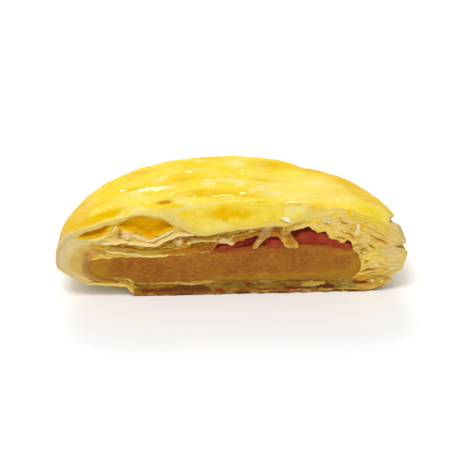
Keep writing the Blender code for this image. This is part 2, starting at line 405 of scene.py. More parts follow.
@dataclass(frozen=True, eq=False)
class Wire:
    """A number that flows between shader nodes. Python's operators on it add Math nodes."""

    recipe: "Recipe"
    socket: bpy.types.NodeSocket

    def __add__(self, other: "Wire | float") -> "Wire":
        """Adds."""
        return self.recipe.maths("ADD", self, other)

    __radd__ = __add__

    def __sub__(self, other: "Wire | float") -> "Wire":
        """Takes the other away."""
        return self.recipe.maths("SUBTRACT", self, other)

    def __rsub__(self, other: float) -> "Wire":
        """Takes this away from a number."""
        return self.recipe.maths("SUBTRACT", other, self)

    def __mul__(self, other: "Wire | float") -> "Wire":
        """Multiplies."""
        return self.recipe.maths("MULTIPLY", self, other)

    __rmul__ = __mul__

    def ramp(self, low: float, high: float) -> "Wire":
        """0 below low, 1 above high, and eased between them."""
        inputs = {"Value": self, "From Min": low, "From Max": high}
        return self.recipe.node("ShaderNodeMapRange", {"interpolation_type": "SMOOTHSTEP"}, inputs, "Result")


class Recipe:
    """The nodes of one material round a single Principled shader."""

    def __init__(self, name: str) -> None:
        """Starts an empty material.

        Args:
            name: the material's name
        """
        self.material = bpy.data.materials.new(name)
        self.material.use_nodes = True
        self.tree = self.material.node_tree
        self.shader = self.tree.nodes["Principled BSDF"]
        self.place = self.node("ShaderNodeTexCoord", output="Object").socket

    def node(
        self, kind: str, settings: dict | None = None, inputs: dict | None = None, output: str = ""
    ) -> Wire:
        """Adds a node.

        Args:
            kind: Blender's name of the node type
            settings: its properties, set first
            inputs: for each socket's name or number, a plain value, a Wire or a socket
            output: name of the socket to return, or the first one

        Returns:
            The output as a Wire.
        """
        made = self.tree.nodes.new(kind)
        for key, value in (settings or {}).items():
            setattr(made, key, value)
        for key, value in (inputs or {}).items():
            self.feed(made.inputs[key], value)
        return Wire(self, made.outputs[output] if output else made.outputs[0])

    def feed(self, socket: bpy.types.NodeSocket, value: object) -> None:
        """Links a Wire or a socket to an input, or sets a plain value on it."""
        if isinstance(value, Wire):
            value = value.socket
        if isinstance(value, bpy.types.NodeSocket):
            self.tree.links.new(value, socket)
        else:
            socket.default_value = value

    def maths(self, operation: str, first: Wire | float, second: Wire | float) -> Wire:
        """One Math node on two numbers."""
        return self.node("ShaderNodeMath", {"operation": operation}, {0: first, 1: second})

    def mark(self, name: str) -> Wire:
        """A number stored on the mesh's points."""
        return self.node("ShaderNodeAttribute", {"attribute_name": name}, output="Fac")

    def grain(self, size: float, detail: float = 2.0, stretch: Triple = (1, 1, 1)) -> Wire:
        """Noise of 0 to 1 over the piece.

        Args:
            size: width of a lump in millimetres
            detail: how many finer scales are added
            stretch: how many times longer a lump is along each axis

        Returns:
            The noise.
        """
        scale = tuple(1 / s for s in stretch)
        scaled = self.node("ShaderNodeMapping", inputs={"Vector": self.place, "Scale": scale})
        inputs = {"Vector": scaled, "Scale": 1 / (size * MM), "Detail": detail, "Roughness": 0.55}
        return self.node("ShaderNodeTexNoise", inputs=inputs, output="Fac")

    def cells(self, size: float) -> Wire:
        """Distance to the nearest of a scatter of points, in widths of a cell of so many millimetres."""
        inputs = {"Vector": self.place, "Scale": 1 / (size * MM)}
        return self.node("ShaderNodeTexVoronoi", inputs=inputs, output="Distance")

    def patch(self, mark: str, grain: Wire, uneven: float, low: float = 0.1, high: float = 0.9) -> Wire:
        """Share to which a mark holds.

        Args:
            mark: name of the mark
            grain: noise that makes its edge uneven
            uneven: how strongly
            low: the mark counts from here
            high: and counts in full from here

        Returns:
            A share from 0 to 1.
        """
        return (self.mark(mark) + uneven * grain - 0.5 * uneven).ramp(low, high)

    def mix(self, share: Wire | float, first: object, second: object) -> Wire:
        """Goes from the first colour to the second by a share.

        Args:
            share: 0 gives the first colour and 1 the second
            first: a colour or a Wire
            second: the same

        Returns:
            The mixed colour.
        """
        made = self.tree.nodes.new("ShaderNodeMix")
        made.data_type = "RGBA"
        self.feed(made.inputs[0], share)
        self.feed(made.inputs[6], first)
        self.feed(made.inputs[7], second)
        return Wire(self, made.outputs[2])

    def laid(self, ground: object, *layers: tuple[Wire, object]) -> Wire:
        """Lays colours over a ground one after another, each as (its share, the colour)."""
        for share, colour in layers:
            ground = self.mix(share, ground, colour)
        return ground

    def bump(self, height: Wire, depth: float, under: Wire | None = None) -> Wire:
        """Tilts the surface as if the height, of 0 to 1, stood up by depth millimetres.

        Args:
            height: 0 to 1
            depth: how far 1 stands up
            under: the bump that this one lies on, if any

        Returns:
            The tilted normal.
        """
        inputs = {"Height": height, "Distance": depth * MM, "Strength": 1}
        if under is not None:
            inputs["Normal"] = under
        return self.node("ShaderNodeBump", inputs=inputs)

    def finish(self, **inputs: object) -> Material:
        """Sets the shader's sockets, named with underscores for spaces, and returns the material."""
        for key, value in inputs.items():
            self.feed(self.shader.inputs[key.replace("_", " ")], value)
        return self.material


# Light goes a little way into skin and paste, red furthest, and deeper into the airy layers of dough
SOFT = {"Subsurface_Weight": 0.35, "Subsurface_Radius": (1, 0.55, 0.2), "Subsurface_Scale": 0.9 * MM}
AIRY = {"Subsurface_Weight": 0.5, "Subsurface_Radius": (1, 0.9, 0.65), "Subsurface_Scale": 0.7 * MM}


@dataclass(frozen=True)
class EggWash:
    """The outer crust: shiny yellow egg wash on top, matt pale dough round the side, a browned underside."""

    light: Colour = tint(251, 226, 84)
    cream: Colour = tint(252, 235, 146)
    yellow: Colour = tint(250, 214, 40)
    deep: Colour = tint(242, 196, 4)
    rim: Colour = tint(238, 186, 50)
    freckle: Colour = tint(200, 138, 2)
    faded: Colour = tint(240, 217, 122)
    # pale folds of the skin, and a painted highlight streak along one of them
    fold_and_highlight: Colour = tint(248, 230, 150)
    side: Colour = tint(224, 191, 106)
    side_shade: Colour = tint(200, 156, 70)
    side_pale: Colour = tint(226, 202, 138)
    lip: Colour = tint(234, 206, 108)
    # painted glow: bright amber on the walls and cavity inside, standing for light through the thin crust
    gap: Colour = tint(240, 170, 8)
    base: Colour = tint(160, 106, 46)
    base_pale: Colour = tint(196, 150, 84)
    base_dark: Colour = tint(98, 54, 22)

    def material(self) -> Material:
        """Builds it from the marks on the crust's points.

        Returns:
            The crust's material.
        """
        r = Recipe("egg_washed_crust")
        glaze = r.mark("glaze")
        broad = r.grain(7, 3, (1.3, 1.3, 1))
        streaks = r.grain(2.2, 3, (2, 1.4, 1))
        thin = (r.grain(4.4, 3, (1.8, 1.6, 1)) * 0.6 + streaks * 0.4).ramp(0.49, 0.64)
        washed = r.laid(
            self.light,
            ((broad * 0.65 + streaks * 0.35).ramp(0.4, 0.58), self.yellow),
            (thin * 0.8 + 0.7 * r.mark("thin") * broad.ramp(0.3, 0.6), self.cream),
            (r.patch("patch", streaks, 0.5, high=0.95), self.deep),
            ((r.mark("brown") + 0.35 * streaks - 0.17).ramp(0.05, 1) * 0.6, self.rim),
            (r.patch("fade", streaks, 0.4, high=1), self.faded),
            # pale folds of the skin; one of them is a painted highlight streak
            (r.mark("fold_and_highlight"), self.fold_and_highlight),
            (r.mark("freckle"), self.freckle),
        )
        layers = r.grain(1, 3, (7, 7, 1)) * 0.6 + r.grain(6, 4) * 0.4
        side = r.laid(self.side, (layers.ramp(0.36, 0.66), self.side_shade), (r.mark("pale"), self.side_pale))
        under = r.laid(
            self.base,
            (r.grain(5, 4).ramp(0.4, 0.6), self.base_dark),
            (r.grain(2, 4).ramp(0.52, 0.7), self.base_pale),
        )
        edge = r.mix(r.mark("pale"), self.lip, self.side_pale)
        colour = r.laid(
            side,
            (glaze, washed),
            (r.mark("base"), under),
            (r.patch("lip", streaks, 0.3, high=0.95), edge),
            # painted amber glow on the walls and cavity inside
            (r.mark("deep"), self.gap),
        )
        shine = glaze * (1 - r.mark("lip")) * (1 - 0.6 * r.mark("fade"))
        wet = (r.mark("gloss") + 2.4 * r.grain(0.8, 3, (1.3, 1, 1)) - 1.25).ramp(0.18, 0.5)
        skin = r.bump(r.grain(0.6, 3, (1.4, 1, 1)), 0.04)
        skin = r.bump(r.grain(2.4, 2, (2, 1, 1)), 0.2, skin)
        return r.finish(
            Base_Color=colour,
            Roughness=0.6 - 0.18 * shine,
            **SOFT,
            Specular_IOR_Level=0,
            Coat_Weight=shine * (0.02 + 0.98 * wet),
            Coat_Roughness=0.08,
            Normal=skin,
        )


@dataclass(frozen=True)
class CutCrumb:
    """The flaky dough where the knife went: pale edges of sheets, and painted shade in the gaps under them.
    """

    lip: Colour = tint(250, 224, 128)
    sheet: Colour = tint(242, 208, 94)
    # root: painted shade deep in the gaps between sheets
    root: Colour = tint(226, 172, 68)
    yellow: Colour = tint(246, 214, 78)
    # painted glow: the pockets' bright amber stands for light through the thin crust, brightened against
    # their shade
    amber: Colour = tint(252, 206, 14)
    glow_amber_dark: Colour = tint(238, 176, 10)
    pale: Colour = tint(229, 207, 163)
    cream: Colour = tint(240, 211, 138)
    shade: Colour = tint(200, 132, 44)
    # dark red at the dough's edge over the hollow and on the hollow's ceiling: syrup stain, deepened as
    # painted shade inside the hollow
    stain_and_shade: Colour = tint(140, 44, 26)
    low: Colour = tint(168, 118, 36)
    low_shade: Colour = tint(128, 80, 26)
    russet: Colour = tint(150, 72, 28)
    # browned underside seen in the gaps along the bottom, darkened further as painted shade
    browned_gap_shade: Colour = tint(136, 84, 38)

    def material(self) -> Material:
        """Builds it from the marks on the cut's points.

        Returns:
            The crumb's material.
        """
        r = Recipe("flaky_crumb")
        fine = r.grain(0.8, 3, (2.2, 1, 1))
        mottle = r.grain(2.4, 3, (1.8, 1, 1))
        # ridge is high at the sheets' torn lips and low where they go back into the gaps, where the root
        # colour is painted shade
        ridge = r.mark("ridge") + 0.5 * fine - 0.25
        low = r.mix((mottle * 0.5 + fine * 0.5).ramp(0.42, 0.6), self.low_shade, self.low)
        amber = r.mix((mottle * 0.7 + fine * 0.3).ramp(0.38, 0.62), self.glow_amber_dark, self.amber)
        colour = r.laid(
            self.root,
            (ridge.ramp(0, 0.5), self.sheet),
            (ridge.ramp(0.45, 1), self.lip),
            (mottle.ramp(0.5, 0.72) * 0.45, self.root),
            (r.patch("yellow", fine, 0.4), self.yellow),
            (r.patch("low", mottle, 0.4) * 0.85, low),
            (r.patch("shade", fine, 0.4), self.shade),
            (r.mark("pale"), self.pale),
            (r.patch("cream", fine, 0.3, 0.2, 0.8), self.cream),
            # painted amber glow in the pockets
            (r.patch("hollow", fine, 0.3), amber),
            (r.patch("russet", mottle, 0.5), self.russet),
            (r.patch("stain_and_shade", fine, 0.5), self.stain_and_shade),
            (r.patch("browned_gap_shade", fine, 0.4, high=0.8), self.browned_gap_shade),
        )
        skin = r.bump(r.grain(0.35, 4, (2.4, 1, 1)), 0.05)
        return r.finish(Base_Color=colour, Roughness=0.62, Specular_IOR_Level=0, Normal=skin, **AIRY)


@dataclass(frozen=True)
class LeafFinish:
    """One thin leaf: a pale torn edge, a buttery surface and painted shade at its root in the gap."""

    tone: Tone

    def material(self) -> Material:
        """Builds it from the marks edge and root on the leaf's points.

        Returns:
            The leaf's material.
        """
        # the third tone, gap, is painted shade in the gap
        edge, upper, gap = (tint(*c) for c in self.tone.value)
        r = Recipe("leaf_" + self.tone.name.lower())
        fibre = r.grain(0.6, 3, (2.6, 1, 1))
        cloud = r.grain(2.5, 2, (2, 1, 1))
        colour = r.laid(
            upper,
            (cloud.ramp(0.4, 0.7) * 0.4, gap),
            # painted shade where the leaf runs back into the gap
            (r.patch("root", fibre, 0.4), gap),
            (r.patch("edge", fibre, 0.5), edge),
        )
        skin = r.bump(fibre, 0.05)
        skin = r.bump(r.grain(1.4, 2, (2, 1, 1)), 0.08, skin)
        return r.finish(Base_Color=colour, Roughness=0.6, Specular_IOR_Level=0, Normal=skin, **AIRY)


@dataclass(frozen=True)
class MaltPaste:
    """The filling: a soft brown paste of malt sugar and flour, smeared a little by the knife."""

    body: Colour = tint(175, 112, 38)
    dark: Colour = tint(161, 96, 34)
    light: Colour = tint(189, 128, 44)
    seed: Colour = tint(128, 70, 22)
    buttery: Colour = tint(186, 138, 36)
    soaked: Colour = tint(168, 74, 34)

    def material(self) -> Material:
        """Builds it from noise at three scales, and the marks wet near the syrup and rim near the dough.

        Returns:
            The paste's material.
        """
        r = Recipe("malt_paste")
        broad = r.grain(5, 4, (1.4, 1, 1))
        fine = r.grain(0.8, 5, (1.2, 1, 1))
        specks = r.cells(1.1).ramp(0.24, 0.08) * r.grain(3, 0).ramp(0.5, 0.62)
        colour = r.laid(
            self.dark,
            ((broad * 0.55 + fine * 0.45).ramp(0.4, 0.54), self.body),
            ((r.grain(3, 4) * 0.5 + fine * 0.5).ramp(0.52, 0.66), self.light),
            (specks * 0.4, self.seed),
            (r.patch("rim", r.grain(1.6, 3), 0.6, high=0.95) * 0.8, self.buttery),
            (r.patch("wet", fine, 0.4, high=0.95), self.soaked),
        )
        skin = r.bump(fine, 0.12)
        skin = r.bump(r.grain(0.3, 2), 0.04, skin)
        return r.finish(Base_Color=colour, Roughness=0.65, Specular_IOR_Level=0.05, Normal=skin, **SOFT)


@dataclass(frozen=True)
class BoiledSyrup:
    """The dark red sticky layer on the filling."""

    red: Colour = tint(172, 68, 40)
    dark: Colour = tint(154, 48, 34)
    thin: Colour = tint(176, 94, 36)

    def material(self) -> Material:
        """Builds it from noise and the mark thin, where the paste shows through, under a clear gloss.

        Returns:
            The syrup's material.
        """
        r = Recipe("boiled_syrup")
        lumps = r.grain(1.6, 4)
        colour = r.laid(
            self.dark,
            (lumps.ramp(0.36, 0.62), self.red),
            (r.patch("thin", lumps, 0.6), self.thin),
        )
        skin = r.bump(r.grain(0.9, 3), 0.12)
        return r.finish(
            Base_Color=colour,
            Roughness=0.5,
            Specular_IOR_Level=0.02,
            Coat_Weight=0.03,
            Coat_Roughness=0.2,
            Normal=skin,
        )


@dataclass(frozen=True)
class PaleFloor:
    """Matt off-white studio floor."""

    colour: Colour = (0.97, 0.97, 0.97, 1)
    faint: Colour = (0.95, 0.95, 0.95, 1)

    def material(self) -> Material:
        """Builds it with a very faint grain."""
        r = Recipe("pale_floor")
        return r.finish(Base_Color=r.mix(r.grain(30, 3), self.colour, self.faint), Roughness=0.9)


# ---- The cake's forms ----


@dataclass(frozen=True)
class CakeForm:
    """The turned outline of the cake and its unevenness, as in the construction."""

    radius: float = 42.5
    height: float = 23.2
    equator: float = 10.5  # height of the widest place
    fall: float = 3.0  # powers of the top's outline
    shoulder: float = 2.8
    base_radius: float = 34.5
    side_power: float = 1.4  # power of the side's outline
    knife_offset: float = 0.4  # how far the knife missed the middle
    lift_start: float = -23.2  # the underside rises between these places along X
    lift_end: float = -26.2
    lift_height: float = 2.6
    lift_slope: float = 0.09  # and further by this for each millimetre
    press_depth: float = 4.0  # how far behind the cut the knife's press ends
    pressed: Line = (
        (-24, 0), (-18, 1.4), (-13, 3.2), (-8, 5.2), (2, 4.3), (10.5, 2.9), (18, 1.6), (25, 0),
    )
    swells: Line = (  # height, waves across X and across Y, phase
        (0.3, 0.9, 0.5, 1.9), (0.22, 2.1, -1.2, 0.9), (0.16, 3.3, 2.7, 4.4), (0.1, 5.6, -4.1, 2),
    )

    def profile(self, share: Array) -> tuple[Array, Array]:
        """(radius, height) at a share of the outline from the top centre, 0, to the base's centre, 1.

        The top's height is equator + (height - equator) (1 - (r/R)^fall)^(1/shoulder). The side below the
        widest point has the radius base + (R - base) cos^side_power at the height equator (1 - sin), and the
        base is flat. The share is by length along the outline.

        Args:
            share: how far along the outline, 0 to 1

        Returns:
            The radii and the heights.
        """
        turn = np.linspace(0, 0.5 * math.pi, 400)
        top_r = self.radius * np.sin(turn) ** 0.87
        arch = np.maximum(1 - (top_r / self.radius) ** self.fall, 0) ** (1 / self.shoulder)
        top_z = self.equator + (self.height - self.equator) * arch
        side_r = self.base_radius + (self.radius - self.base_radius) * np.cos(turn[1:-1]) ** self.side_power
        side_z = self.equator * (1 - np.sin(turn[1:-1]))
        r = np.concatenate([top_r, side_r, [self.base_radius, 0]])
        z = np.concatenate([top_z, side_z, [0, 0]])
        length = along(stacked(r, z))
        at = share * length[-1]
        return np.interp(at, length, r), np.interp(at, length, z)

    def swell(self, x: Array, y: Array) -> Array:
        """Uneven rise of the dome: a sum of slow waves across it.

        Args:
            x: places along X
            y: places along Y

        Returns:
            A height for each place.
        """
        total = np.zeros_like(x)
        for height, across_x, across_y, phase in self.swells:
            total = total + height * np.sin(math.pi * (across_x * x + across_y * y) / self.radius + phase)
        return total

    def lift(self, x: Array) -> Array:
        """How far the underside has risen at the left end: a step, then a gentle slope."""
        step = self.lift_height * smoothstep((x - self.lift_start) / (self.lift_end - self.lift_start))
        return step + self.lift_slope * np.maximum(self.lift_end - x, 0)

    def press(self, x: Array, behind: Array) -> Array:
        """How far the knife pressed the top skin down: all of it at the cut, none at press_depth behind."""
        return eased(self.pressed, np.clip(x, -24, 25)) * smoothstep(1 - behind / self.press_depth)

    def surface(self, ways: Points) -> Points:
        """The outer surface in a direction from the cake's middle.

        The direction's latitude gives the share of the profile, and its heading turns the profile about the
        axis. Heights then take the swell and the press above the widest point, and below it the lift.

        Args:
            ways: unit directions, with Y from the cut towards the back

        Returns:
            A point for each direction.
        """
        flat = np.maximum(np.hypot(ways[..., 0], ways[..., 1]), 1e-9)
        share = 0.5 - np.arctan2(ways[..., 2], flat) / math.pi
        r, z = self.profile(share)
        x = r * ways[..., 0] / flat
        y = CUT_Y + r * ways[..., 1] / flat * (1 - self.knife_offset / self.radius)
        above = smoothstep((z - self.equator) / (self.height - self.equator))
        rise = above * self.swell(x, y) - (z > self.equator) * self.press(x, y - CUT_Y)
        low = 1 - smoothstep(z / self.equator)
        return stacked(x, y, z + rise + low * self.lift(x))


@dataclass(frozen=True)
class FillingForm:
    """The disc of malt paste, thicker to the right of the middle, and the hollow over it."""

    radius: float = 33.5
    offset_x: float = -1.8  # of its middle
    floor: float = 3.4
    top: float = 11.2
    edge_power: float = 2.8  # of the rim's superellipse
    rim_share: float = 0.16  # part of a right angle whose directions meet the rim
    lift_share: float = 0.55  # how much of the cake's lift the bottom takes
    crown: float = 2.4  # how much higher the top is at crown_x
    crown_x: float = 13.0
    crown_width: float = 20.0
    gap: float = 0.3  # between the paste and the dough
    syrup_x: float = 12.2  # middle of the syrup
    syrup_half_width: float = 16.8
    syrup_depth: float = 15.0
    syrup_thickness: float = 1.1
    hollow_height: float = 4.2  # of the hollow over the syrup
    hollow_margin: float = 0.7  # how much wider it is than the syrup

    @property
    def half(self) -> float:
        """Half the disc's thickness."""
        return 0.5 * (self.top - self.floor)

    @property
    def middle(self) -> float:
        """Height of the disc's middle."""
        return self.floor + self.half

    def surface(self, ways: Points, grow: float) -> Points:
        """The disc's surface in a direction from its middle, larger all round by grow.

        A direction within rim_share of the level one lies on the rim, a superellipse. A steeper one lies on
        the flat top or bottom. The top rises by the crown, and the bottom by a share of the cake's lift.

        Args:
            ways: unit directions, with Y from the cut towards the back
            grow: how much larger than the paste itself

        Returns:
            A point for each direction.
        """
        flat = np.maximum(np.hypot(ways[..., 0], ways[..., 1]), 1e-9)
        tilt = np.arctan2(ways[..., 2], flat) / (0.5 * math.pi)
        steep = np.abs(tilt)
        turn = 0.5 * math.pi * unit(steep / self.rim_share)
        inner = self.radius - self.half
        share = unit((steep - self.rim_share) / (1 - self.rim_share))
        bulge = np.cos(turn) ** (2 / self.edge_power)
        r = np.where(steep > self.rim_share, inner * (1 - share), inner + (self.half + grow) * bulge)
        z = self.middle + (self.half + grow) * np.sign(tilt) * np.sin(turn) ** (2 / self.edge_power)
        x = self.offset_x + r * ways[..., 0] / flat
        y = CUT_Y + r * ways[..., 1] / flat
        above = smoothstep((z - self.middle) / self.half) * self.crown_rise(x, y)
        below = smoothstep((self.middle - z) / self.half) * self.lift_share * CAKE.lift(x)
        return stacked(x, y, z + above + below)

    def crown_rise(self, x: Array, y: Array) -> Array:
        """Extra height of the top: crown exp(-across^2 - behind^2 / 2)."""
        across, behind = (x - self.crown_x) / self.crown_width, (y - CUT_Y) / self.crown_width
        return self.crown * np.exp(-(across**2) - 0.5 * behind**2)

    def top_height(self, x: Array, y: Array) -> Array:
        """Height of the paste's top surface over a place.

        Args:
            x: places along X
            y: places along Y

        Returns:
            A height for each place.
        """
        out = np.hypot(x - self.offset_x, y - CUT_Y) - (self.radius - self.half)
        share = unit(out / self.half)
        flat = (1 - share**self.edge_power) ** (1 / self.edge_power)
        return self.middle + self.half * flat + smoothstep(flat) * self.crown_rise(x, y)

    def lens(self, x: Array, y: Array, grow: float) -> Array:
        """Share of the height of a lens in plan over the syrup: sqrt(1 - across^2 - behind^2).

        Args:
            x: places along X
            y: places along Y
            grow: how much larger it is all round

        Returns:
            0 outside, up to 1 in the middle.
        """
        across = (x - self.syrup_x) / (self.syrup_half_width + grow)
        behind = (y - CUT_Y) / (self.syrup_depth + grow)
        return np.sqrt(np.maximum(1 - across**2 - behind**2, 0))

    def roof(self, x: Array, y: Array) -> Array:
        """Height of the cavity's ceiling: the paste with its gap, or the hollow where that is higher."""
        hollow = self.hollow_height * self.lens(x, y, self.hollow_margin)
        return self.top_height(x, y) + np.maximum(self.gap, hollow)


CAKE = CakeForm()
PASTE = FillingForm()

# Lines on the cut, as (x, z) places in the view of the photograph
MAIN_LIP: Line = (
    (-40.3, 14.4), (-34.7, 14.6), (-29.1, 15), (-26.1, 15.3), (-24.2, 14.9), (-21.7, 14.5), (-19.5, 14),
    (-18.1, 14.3), (-15.6, 15.8), (-13.2, 16.8), (-10.3, 16.9), (-4.4, 17.5), (2, 18.3), (7.3, 19.3),
    (10.5, 19.9),
)
# The ragged edge of the dough over the hollow, as (x, z, the x where the dough's line to it leaves the skin)
HOLLOW_BROW: Line = (
    (-5.6, 12.4, -5), (-4.6, 12.9, -4), (-3.6, 14.1, -3), (-2, 14.6, -1.6), (-0.9, 14.2, -0.4),
    (-0.2, 13.7, 0.4), (0.6, 14, 1.4), (1.5, 14.9, 2.6), (3, 15.6, 4.2), (4.8, 16, 6.2), (6.6, 16.3, 8.2),
    (6.1, 15.2, 8.7), (5.1, 13.6, 9), (4.9, 12.7, 9.2), (5.8, 12.8, 9.4), (7, 14, 9.6), (8.4, 15.4, 9.8),
    (9.4, 16.1, 10), (11, 16.1, 10.3), (11.6, 15.4, 10.5), (12, 14.2, 10.7), (13.2, 12.9, 10.9),
    (14.8, 12.5, 11.1), (16.3, 12.8, 11.3), (15.6, 14.2, 11.5), (14.5, 15.7, 11.7), (13.9, 16.9, 12),
    (14.4, 17.5, 12.5), (15.6, 17.9, 13.8), (18.1, 18.6, 16.8), (19.3, 17.8, 19), (21, 16.9, 21.5),
    (22.5, 17.1, 24), (23.6, 15.2, 26.5), (25.3, 14.8, 29), (26.5, 13.8, 31.5), (28.1, 14.5, 34.5),
    (29.3, 13.2, 37), (29.9, 11.6, 38.6),
)
BROW_START, BROW_END = HOLLOW_BROW[0][0], HOLLOW_BROW[-1][0]
SHEETS = 9  # sheets of dough between the crust and the filling


def half_ball(rows: int, columns: int, front: float = 1.0, gather: float = 1.0) -> Points:
    """Directions over the half of a ball behind the cut, as rings round the way straight back.

    Ring i stands at an angle a from straight back, and its points go round by p from 0 to a full turn:
    (sin a cos p, cos a, sin a sin p). With s = (i + 1) / rows, a is front (1 - (1 - s)^gather) times a
    right angle.

    Args:
        rows: number of rings
        columns: points on a ring
        front: 1 ends in the plane of the cut
        gather: above 1, the rings lie closer together towards the cut

    Returns:
        Directions as (rows, columns, 3).
    """
    s = (np.arange(rows) + 1) / rows
    a = (0.5 * math.pi * front * (1 - (1 - s) ** gather))[:, None]
    p = (2 * math.pi * np.arange(columns) / columns)[None, :]
    return stacked(np.sin(a) * np.cos(p), np.cos(a) + 0 * p, np.sin(a) * np.sin(p))


def outward(rings: Points) -> Points:
    """Unit normals of closed rings: the cross product of the grid's two directions, away from the middle.

    Args:
        rings: points as (ring, place round the ring, 3)

    Returns:
        A unit vector for each point.
    """
    down = np.gradient(rings, axis=0)
    wrapped = np.concatenate([rings[:, -1:], rings, rings[:, :1]], axis=1)
    normal = np.cross(down, wrapped[:, 2:] - wrapped[:, :-2])
    normal /= np.maximum(np.linalg.norm(normal, axis=-1, keepdims=True), 1e-9)
    return normal if np.sum(normal * (rings - rings.mean(axis=(0, 1)))) > 0 else -normal


def inwards(rim: Points, width: Array) -> Points:
    """The outline of the cut moved inwards, in the plane of the cut, by a width for each of its points.

    Args:
        rim: the outline
        width: how far each of its points moves

    Returns:
        The new outline.
    """
    run = np.roll(rim, -1, axis=0) - np.roll(rim, 1, axis=0)
    step = stacked(-run[:, 2], np.zeros(len(rim)), run[:, 0])
    step /= np.maximum(np.linalg.norm(step, axis=-1, keepdims=True), 1e-9)
    if np.sum(step * (rim.mean(axis=0) - rim)) < 0:
        step = -step
    return rim + step * width[:, None]


# ---- Spots ----


@dataclass(frozen=True)
class Spot:
    """An oval place: its middle (x, v), its half sizes, its strength, and how far it is turned, in degrees.

    On top of the crust, v is the distance behind the cut. On the cut, it is the height in the photograph's
    view.
    """

    x: float
    v: float
    half_x: float
    half_v: float
    strength: float = 1.0
    turn: float = 0.0

    def share(self, x: Array, v: Array) -> Array:
        """The strength in the middle, fading out as a bell.

        Args:
            x: places along X
            v: places across it

        Returns:
            A number for each place.
        """
        cos, sin = math.cos(math.radians(self.turn)), math.sin(math.radians(self.turn))
        run = (x - self.x) * cos + (v - self.v) * sin
        off = (v - self.v) * cos - (x - self.x) * sin
        return self.strength * bell(np.hypot(run / self.half_x, off / self.half_v), 1)


Spots = tuple[Spot, ...]


def spots(*rows: tuple[float, ...]) -> Spots:
    """A table of spots: one for each row of their numbers."""
    return tuple(Spot(*row) for row in rows)


def spotted(table: Spots, x: Array, v: Array) -> Array:
    """The sum of all the spots at each place."""
    return sum((spot.share(x, v) for spot in table), np.zeros_like(x))


# ---- The crust ----


@dataclass(frozen=True)
class Notch:
    """A gap between two leaves at the right-hand edge.

    Attributes:
        height: of its right-hand end, in the view of the photograph
        width: half its height there
        depth: how far it draws the edge in
        slope: its rise for each millimetre to the right
        start: the x from which it is there
    """

    height: float
    width: float
    depth: float
    slope: float
    start: float

    def drawn_in(self, x: Array, behind: Array, z: Array) -> Array:
        """How far the edge is drawn in. The gap follows the photograph's line of sight, widens and fades.

        Args:
            x: places along X
            behind: distances behind the cut
            z: heights

        Returns:
            Millimetres for each place.
        """
        off = z + SIGHT_RISE * behind - self.height - self.slope * (x - 41)
        fade = step_up(x, self.start, 3) * (1 - step_up(behind, 6, 10))
        return self.depth * fade * bell(off, self.width * (1 + 0.5 * step_up(behind, 0, 5)))


